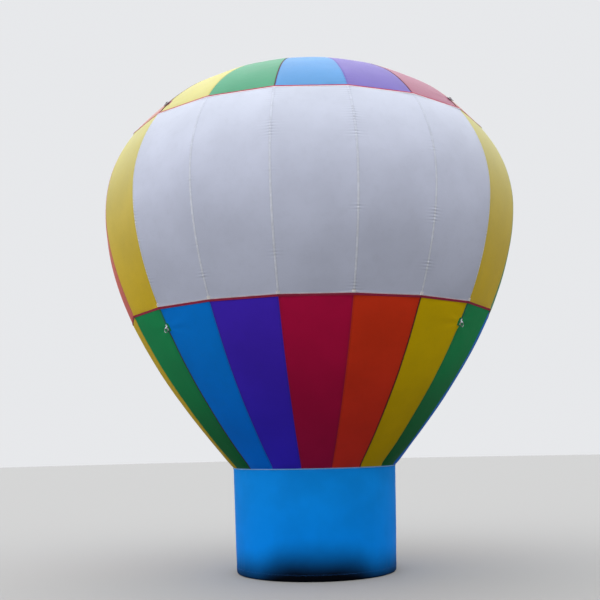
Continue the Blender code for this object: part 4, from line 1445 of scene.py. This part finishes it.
def add_zip_tapes():
    """Two tapes, each a strip along the zip's line."""
    bm = bmesh.new()
    section = ((0.0015, -0.004), (0.0015, 0.0030), (0.022, 0.0024), (0.022, -0.004))
    for side in (-1, 1):
        rings = []
        for share in shares(ZIP_STEPS):
            length = ZIP_FOOT + ZIP_LENGTH * share
            rings.append([bm.verts.new(drum_spot(
                ZIP_ANGLE + side * across / NECK_RADIUS, length, lift))
                for across, lift in section])
        join_rings(bm, rings, closed=False)
        bm.faces.new(rings[0])
        bm.faces.new(rings[-1])
    build("zip_tapes", bm, dark_webbing)


def add_zip():
    """Deflation zip in the drum's back panel: two tapes, a row of teeth and the slider."""
    add_zip_tapes()
    tooth = pattern_piece("zip_tooth", joined_boxes([
        ((0.0, -0.0042, -0.0016), (0.0022, 0.0022, 0.0016), 0.0004)]))
    path = [drum_spot(ZIP_ANGLE, ZIP_FOOT + ZIP_LENGTH * share, 0.0022)
            for share in shares(ZIP_STEPS)]
    away = place(ZIP_ANGLE, 1.0, 0.0)
    set_in_row("zip_teeth", [path], tooth, int(ZIP_LENGTH / ZIP_PITCH), away, black_plastic,
               closed=False)
    along = (path[-1] - path[0]).normalized()
    side = along.cross(away.normalized())
    frame = frame_at(path[-1] - 0.012 * along, side, along, side.cross(along))
    slider = joined_boxes([
        ((-0.008, -0.011, 0.0005), (0.008, 0.011, 0.0035), 0.0012),
        ((-0.008, -0.011, 0.0055), (0.008, 0.011, 0.0080), 0.0010),
        ((-0.0025, -0.004, 0.0030), (0.0025, 0.006, 0.0062), 0.0008)], frame)
    pull = [Vector((x, y - 0.030, 0.0088)) for x, y in
            arc(0.0045, 0, 180, 10, (0.0, 0.022)) + arc(0.0045, 180, 360, 10, (0.0, 0.0))]
    draw_wire(slider, pull, 0.0013, 8, frame)
    build("zip_slider", slider, ring_steel)


add_zip()


# Blower housing

def shaft_circle(radius, x, steps):
    """A circle round the blower's shaft."""
    return [BLOWER_CENTRE + Vector((x, radius * math.cos(turn), radius * math.sin(turn)))
            for turn in turns(steps)]


def scroll_path(grow_by):
    """Side view of the scroll as (y, z), drawn finer than the CAD's facets."""
    centre = BLOWER_CENTRE
    outline = []
    for share in shares(72):
        turn = share * math.radians(270)
        radius = SCROLL_START + (SCROLL_END - SCROLL_START) * share + grow_by
        outline.append((centre.y - radius * math.cos(turn), centre.z + radius * math.sin(turn)))
    floor = centre.z - SCROLL_END - grow_by
    top = centre.z + grow_by
    outlet = SPOUT_START - grow_by
    start_y = outline[-1][0]
    outline += [(start_y + (outlet - start_y) * share, floor) for share in shares(12)[1:]]
    return outline + [(outlet, floor + (top - floor) * share) for share in shares(8)[1:]]


def scroll_ring(bm, grow_by, x):
    """The scroll's outline, grown by a distance."""
    return [bm.verts.new((x, y, z)) for y, z in scroll_path(grow_by)]


def round_ring(bm, radius, x):
    """A circle with as many points as the scroll's outline, each facing its own point."""
    centre = BLOWER_CENTRE
    ring = []
    for y, z in scroll_path(0.0):
        turn = math.atan2(z - centre.z, y - centre.y)
        ring.append(bm.verts.new((x, centre.y + radius * math.cos(turn),
                                  centre.z + radius * math.sin(turn))))
    return ring


def add_blower_shell():
    """Two moulded halves with rounded edges, a parting flange and a bell-mouth inlet."""
    half = SCROLL_HALF_WIDTH
    face = half - 0.002
    wall = 0.0035
    rounding = 0.010
    quarter = [math.pi / 2 * share for share in shares(4)]
    edge = [(rounding * (math.sin(turn) - 1), rounding * (1 - math.cos(turn)))
            for turn in quarter]
    mouth = [(INLET_RADIUS - 0.0035, half - 0.018), (INLET_RADIUS - 0.003, half - 0.004),
             (INLET_RADIUS, half + 0.0005), (INLET_RADIUS + 0.005, half + 0.002),
             (INLET_RADIUS + 0.010, half + 0.001), (INLET_RADIUS + 0.012, face)]
    outside = [(grow_by, face - inset) for grow_by, inset in edge]
    outside += [(0.0, 0.0042), (0.0042, 0.0034), (0.0042, -0.0034), (0.0, -0.0042)]
    outside += [(grow_by, inset - half) for grow_by, inset in edge[::-1]]
    motor_side = [(MOTOR_RADIUS + 0.012, -half), (MOTOR_RADIUS + 0.010, -half - 0.004),
                  (MOTOR_RADIUS - 0.004, -half - 0.004), (MOTOR_RADIUS - 0.004, wall - half)]
    inside = [(-rounding - wall, wall - half), (-wall, wall - half + rounding),
              (-wall, half - wall - rounding), (-rounding - wall, face - wall)]
    throat = [(INLET_RADIUS + 0.010, face - wall), (INLET_RADIUS + 0.001, half - 0.018)]
    bm = bmesh.new()
    rings = []
    for make_ring, sizes in ((round_ring, mouth), (scroll_ring, outside),
                             (round_ring, motor_side), (scroll_ring, inside),
                             (round_ring, throat)):
        rings += [make_ring(bm, size, x) for size, x in sizes]
    join_rings(bm, rings, closed=True)
    build("blower_shell", bm, blower_plastic, node="blower_housing", sharp=35)


def add_spout():
    """A short pipe with two ribs that hold the sleeve and a flange on the scroll."""
    edge = SPOUT_RADIUS
    section = [(edge - 0.0030, SPOUT_TIP + 0.001), (edge, SPOUT_TIP + 0.002)]
    for rib in (1.424, 1.462):
        section += [(edge, rib), (edge + 0.003, rib + 0.003), (edge + 0.003, rib + 0.013),
                    (edge, rib + 0.016)]
    section += [(edge, 1.520), (edge + 0.004, 1.524), (edge + 0.004, 1.541),
                (edge - 0.004, 1.541), (edge - 0.004, SPOUT_TIP + 0.003)]
    turned_solid("blower_spout", section, blower_plastic, SPOUT_FRAME)


def add_motor():
    """Finned can with an end bell, a terminal box, a cable gland and a bare plate."""
    centre = BLOWER_CENTRE
    seat = SCROLL_HALF_WIDTH + 0.003
    end = SCROLL_HALF_WIDTH + MOTOR_LENGTH
    core = MOTOR_RADIUS - 0.009
    bell = MOTOR_RADIUS - 0.001
    turned_solid("motor_can", [
        (0.0, seat), (core, seat), (core, end - 0.034), (bell, end - 0.033),
        (bell, end - 0.012), (MOTOR_RADIUS - 0.005, end - 0.005),
        (MOTOR_RADIUS - 0.013, end - 0.0015), (0.040, end - 0.0005), (0.036, end - 0.004),
        (0.016, end - 0.004), (0.013, end - 0.001), (0.0, end - 0.0005)],
        motor_grey, turned_frame(centre, "Y", -90))
    fin = pattern_piece("motor_fin", joined_boxes([
        ((-0.0525, -0.0013, -0.006), (0.0525, 0.0013, 0.005), 0.0007)]))
    middle = (0.033 - seat - end) / 2
    set_in_row("motor_fins", [shaft_circle(core + 0.003, middle, 48)], fin, 36, ALONG_SHAFT,
               motor_grey)
    top = centre.z + MOTOR_RADIUS
    build("terminal_box", joined_boxes([
        ((-0.215, centre.y - 0.034, top - 0.014), (-0.135, centre.y + 0.034, top + 0.020), 0.004),
        ((-0.218, centre.y - 0.037, top + 0.0185), (-0.132, centre.y + 0.037, top + 0.0245),
         0.0022)]), black_plastic)
    turned_solid("cable_gland", [
        (0.0, -0.002), (0.0105, -0.002), (0.0105, 0.006), (0.0085, 0.0065), (0.0085, 0.012),
        (0.0070, 0.0155), (0.0045, 0.0165), (0.0, 0.0150)], black_plastic,
        turned_frame((-0.175, centre.y + 0.034, top + 0.003), "X", -90), 6, 20)
    plate_face = SCROLL_HALF_WIDTH - 0.0005
    build("bare_plate", joined_boxes([
        ((plate_face - 0.0025, centre.y + 0.110, centre.z - 0.100),
         (plate_face, centre.y + 0.172, centre.z - 0.064), 0.0004)]), ring_steel)


def add_blower_fixings():
    """Screw bosses round the flange, the screws in them and those of the inlet ring."""
    outline = scroll_path(0.0055)
    picks = [outline[i] for i in (3, 15, 27, 39, 51, 63, 76)]
    bosses = bmesh.new()
    for y, z in picks:
        turn_section(bosses, [(0.0, -0.009), (0.0062, -0.009), (0.0070, -0.008),
                              (0.0070, 0.008), (0.0062, 0.009), (0.0, 0.009)], 20,
                     turned_frame((0.0, y, z), "Y", 90))
    build("flange_bosses", bosses, blower_plastic)
    set_in_row("flange_screws", [[(0.0092, y, z) for y, z in picks]], screw, len(picks),
               ALONG_SHAFT, ring_steel, closed=False)
    lip = shaft_circle(0.1135, SCROLL_HALF_WIDTH - 0.0012, 24)
    set_in_row("inlet_screws", [lip], screw, 6, ALONG_SHAFT, ring_steel)


def add_inlet_guard():
    """Wire guard over the inlet: rings on crossed bars, as the CAD's guard is crossed."""
    bm = bmesh.new()
    for radius in (0.018, 0.032, 0.046, 0.060, 0.074, 0.088, 0.098):
        draw_wire(bm, shaft_circle(radius, SCROLL_HALF_WIDTH - 0.0015, 64), 0.0012, 6)
    middle = BLOWER_CENTRE + Vector((SCROLL_HALF_WIDTH - 0.0036, 0.0, 0.0))
    for i in range(4):
        turn = math.pi * i / 4
        reach = Vector((0.0, math.cos(turn), math.sin(turn))) * 0.099
        between = middle - reach / 2 + Vector((0.0, 0.0, 1e-6))
        draw_wire(bm, [middle - reach, between, middle + reach], 0.0017, 8, closed=False)
    build("inlet_guard", bm, ring_steel)


def add_blower_feet_and_grip():
    """Two feet on rubber pads, and a ribbed grip on two posts."""
    centre = BLOWER_CENTRE
    outer = SCROLL_HALF_WIDTH - 0.004
    top = centre.z - SCROLL_END + 0.020
    feet = []
    pads = []
    for low, high in ((-outer, 0.030 - outer), (outer - 0.030, outer)):
        feet.append(((low, centre.y - 0.18, 0.014), (high, centre.y + 0.18, top), 0.004))
        for y in (centre.y - 0.160, centre.y + 0.160):
            pads.append(((low + 0.001, y - 0.020, 0.0), (high - 0.001, y + 0.020, 0.016), 0.003))
    build("blower_feet", joined_boxes(feet), blower_plastic)
    build("rubber_pads", joined_boxes(pads), rubber)
    grip_half = HANDLE_LENGTH / 2
    posts = []
    for y in (centre.y - grip_half + 0.015, centre.y + grip_half - 0.015):
        posts.append(((-0.009, y - 0.008, 0.440), (0.009, y + 0.008, 0.517), 0.003))
    build("grip_posts", joined_boxes(posts), blower_plastic)
    section = [(0.0, -grip_half), (0.0085, -grip_half), (HANDLE_RADIUS, 0.0015 - grip_half)]
    for share in shares(22)[:-1]:
        at = 0.022 - grip_half + (HANDLE_LENGTH - 0.044) * share
        section += [(0.0100, at), (0.0088, at + 0.0008), (0.0088, at + 0.0022),
                    (0.0100, at + 0.0030)]
    section += [(HANDLE_RADIUS, grip_half - 0.0015), (0.0085, grip_half), (0.0, grip_half)]
    turned_solid("grip", section, rubber,
                 turned_frame((0.0, centre.y, HANDLE_HEIGHT), "X", -90), 24, 30)


add_blower_shell()
add_spout()
add_motor()
add_blower_fixings()
add_inlet_guard()
add_blower_feet_and_grip()


# Blower wheel

def add_wheel():
    """Squirrel-cage wheel: a dished back disc, forward-curved blades, a rim, hub and shaft."""
    half = WHEEL_HALF_WIDTH
    edge = WHEEL_RADIUS
    inner = edge - 0.020
    frame = turned_frame(BLOWER_CENTRE, "Y", 90)
    turned_solid("wheel_disc", [
        (0.0, -0.145), (0.0085, -0.145), (0.0085, -0.0865), (0.024, -0.086), (0.026, -0.084),
        (0.026, -half), (edge - 0.001, -half), (edge, 0.001 - half), (edge, 0.0045 - half),
        (edge - 0.020, 0.0052 - half), (edge - 0.030, 0.0075 - half), (0.030, 0.0075 - half),
        (0.026, 0.009 - half), (0.0245, -0.036), (0.022, -0.035), (0.011, -0.035),
        (0.010, -0.037), (0.0, -0.037)], wheel_plastic, frame, body="wheel",
        node="blower_wheel")
    turned_solid("wheel_rim", [
        (inner, half - 0.004), (inner + 0.001, half - 0.0055), (edge - 0.001, half - 0.0055),
        (edge, half - 0.0045), (edge, half - 0.001), (edge - 0.001, half),
        (inner + 0.002, half), (inner, half - 0.001)], wheel_plastic, frame,
        body="wheel")
    blade = bmesh.new()
    curve = arc(0.019, 200, 262, 8, (0.0165, 0.0100))
    fold_strip(blade, curve, 0.0016, half - 0.004)
    set_in_row("wheel_blades", [shaft_circle(edge - 0.0115, 0.0, 60)],
               pattern_piece("wheel_blade", blade), 40, ALONG_SHAFT, wheel_plastic,
               "wheel")


add_wheel()


# Stage

def add_floor():
    """Studio floor; it looks lighter to the camera than the light that it bounces."""
    bm = bmesh.new()
    bmesh.ops.create_circle(bm, cap_ends=True, segments=96, radius=60.0)
    mesh = bpy.data.meshes.new("studio_floor")
    bm.to_mesh(mesh)
    bm.free()
    floor = bpy.data.objects.new("studio_floor", mesh)
    bpy.context.collection.objects.link(floor)
    made, graph, shader = new_material("floor_paint")
    seen = graph.out("ShaderNodeLightPath", output="Is Camera Ray")
    paint = mix_colour(graph, seen, (0.075, 0.075, 0.075), (0.30, 0.30, 0.30))
    graph.feed(shader.inputs["Base Color"], paint)
    shader.inputs["Roughness"].default_value = 0.9
    mesh.materials.append(made)


def add_soft_light(name, spot, target, size, watts):
    """A rectangular lamp at a spot, turned towards a target."""
    data = bpy.data.lights.new(name, "AREA")
    data.shape = "RECTANGLE"
    data.size, data.size_y = size
    data.energy = watts
    lamp = bpy.data.objects.new(name, data)
    bpy.context.collection.objects.link(lamp)
    lamp.location = spot
    lamp.rotation_euler = (Vector(target) - Vector(spot)).to_track_quat("-Z", "Y").to_euler()


def set_world():
    """Soft light, strongest overhead and a little to the left, behind an even backdrop."""
    world = bpy.data.worlds.new("studio_world")
    bpy.context.scene.world = world
    world.use_nodes = True
    graph = Graph(world.node_tree)
    right, _, up = graph.out("ShaderNodeTexCoord", output="Generated").parts()
    glow = mix_colour(graph, up.ramp(0.02, 0.90), (0.16, 0.17, 0.18), (2.80, 2.80, 2.80))
    glow = toned(graph, glow, right.ramp(-1.0, 1.0, 1.08, 0.79))
    seen = graph.out("ShaderNodeLightPath", output="Is Camera Ray")
    glow = mix_colour(graph, seen, glow, (0.80, 0.81, 0.83))
    back = world.node_tree.nodes["Background"]
    graph.feed(back.inputs["Color"], glow)
    back.inputs["Strength"].default_value = 1.0


def add_camera():
    """The photo's camera, as fitted to the balloon's outline and seams."""
    focal_pixels = 929.98
    image_pixels = 600
    eye = Vector((0.0, -11.159, 1.5054))
    pitch = 0.1491
    yaw = -0.0113
    roll = -0.0218
    ahead = Vector((math.sin(yaw) * math.cos(pitch), math.cos(yaw) * math.cos(pitch),
                    math.sin(pitch)))
    level = Vector((math.cos(yaw), -math.sin(yaw), 0.0))
    upright = level.cross(ahead)
    right = level * math.cos(roll) + upright * math.sin(roll)
    up = upright * math.cos(roll) - level * math.sin(roll)
    data = bpy.data.cameras.new("photo_camera")
    data.sensor_width = 36.0
    data.sensor_fit = "HORIZONTAL"
    data.lens = focal_pixels * data.sensor_width / image_pixels
    camera = bpy.data.objects.new("photo_camera", data)
    bpy.context.collection.objects.link(camera)
    camera.matrix_world = frame_at(eye, right, up, -ahead)
    bpy.context.scene.camera = camera


bpy.context.scene.view_settings.view_transform = "Standard"
add_floor()
set_world()
add_soft_light("left_softbox", (-8.0, -6.0, 2.6), (0.0, 0.0, 1.6), (4.0, 3.0), 38.0)
add_camera()
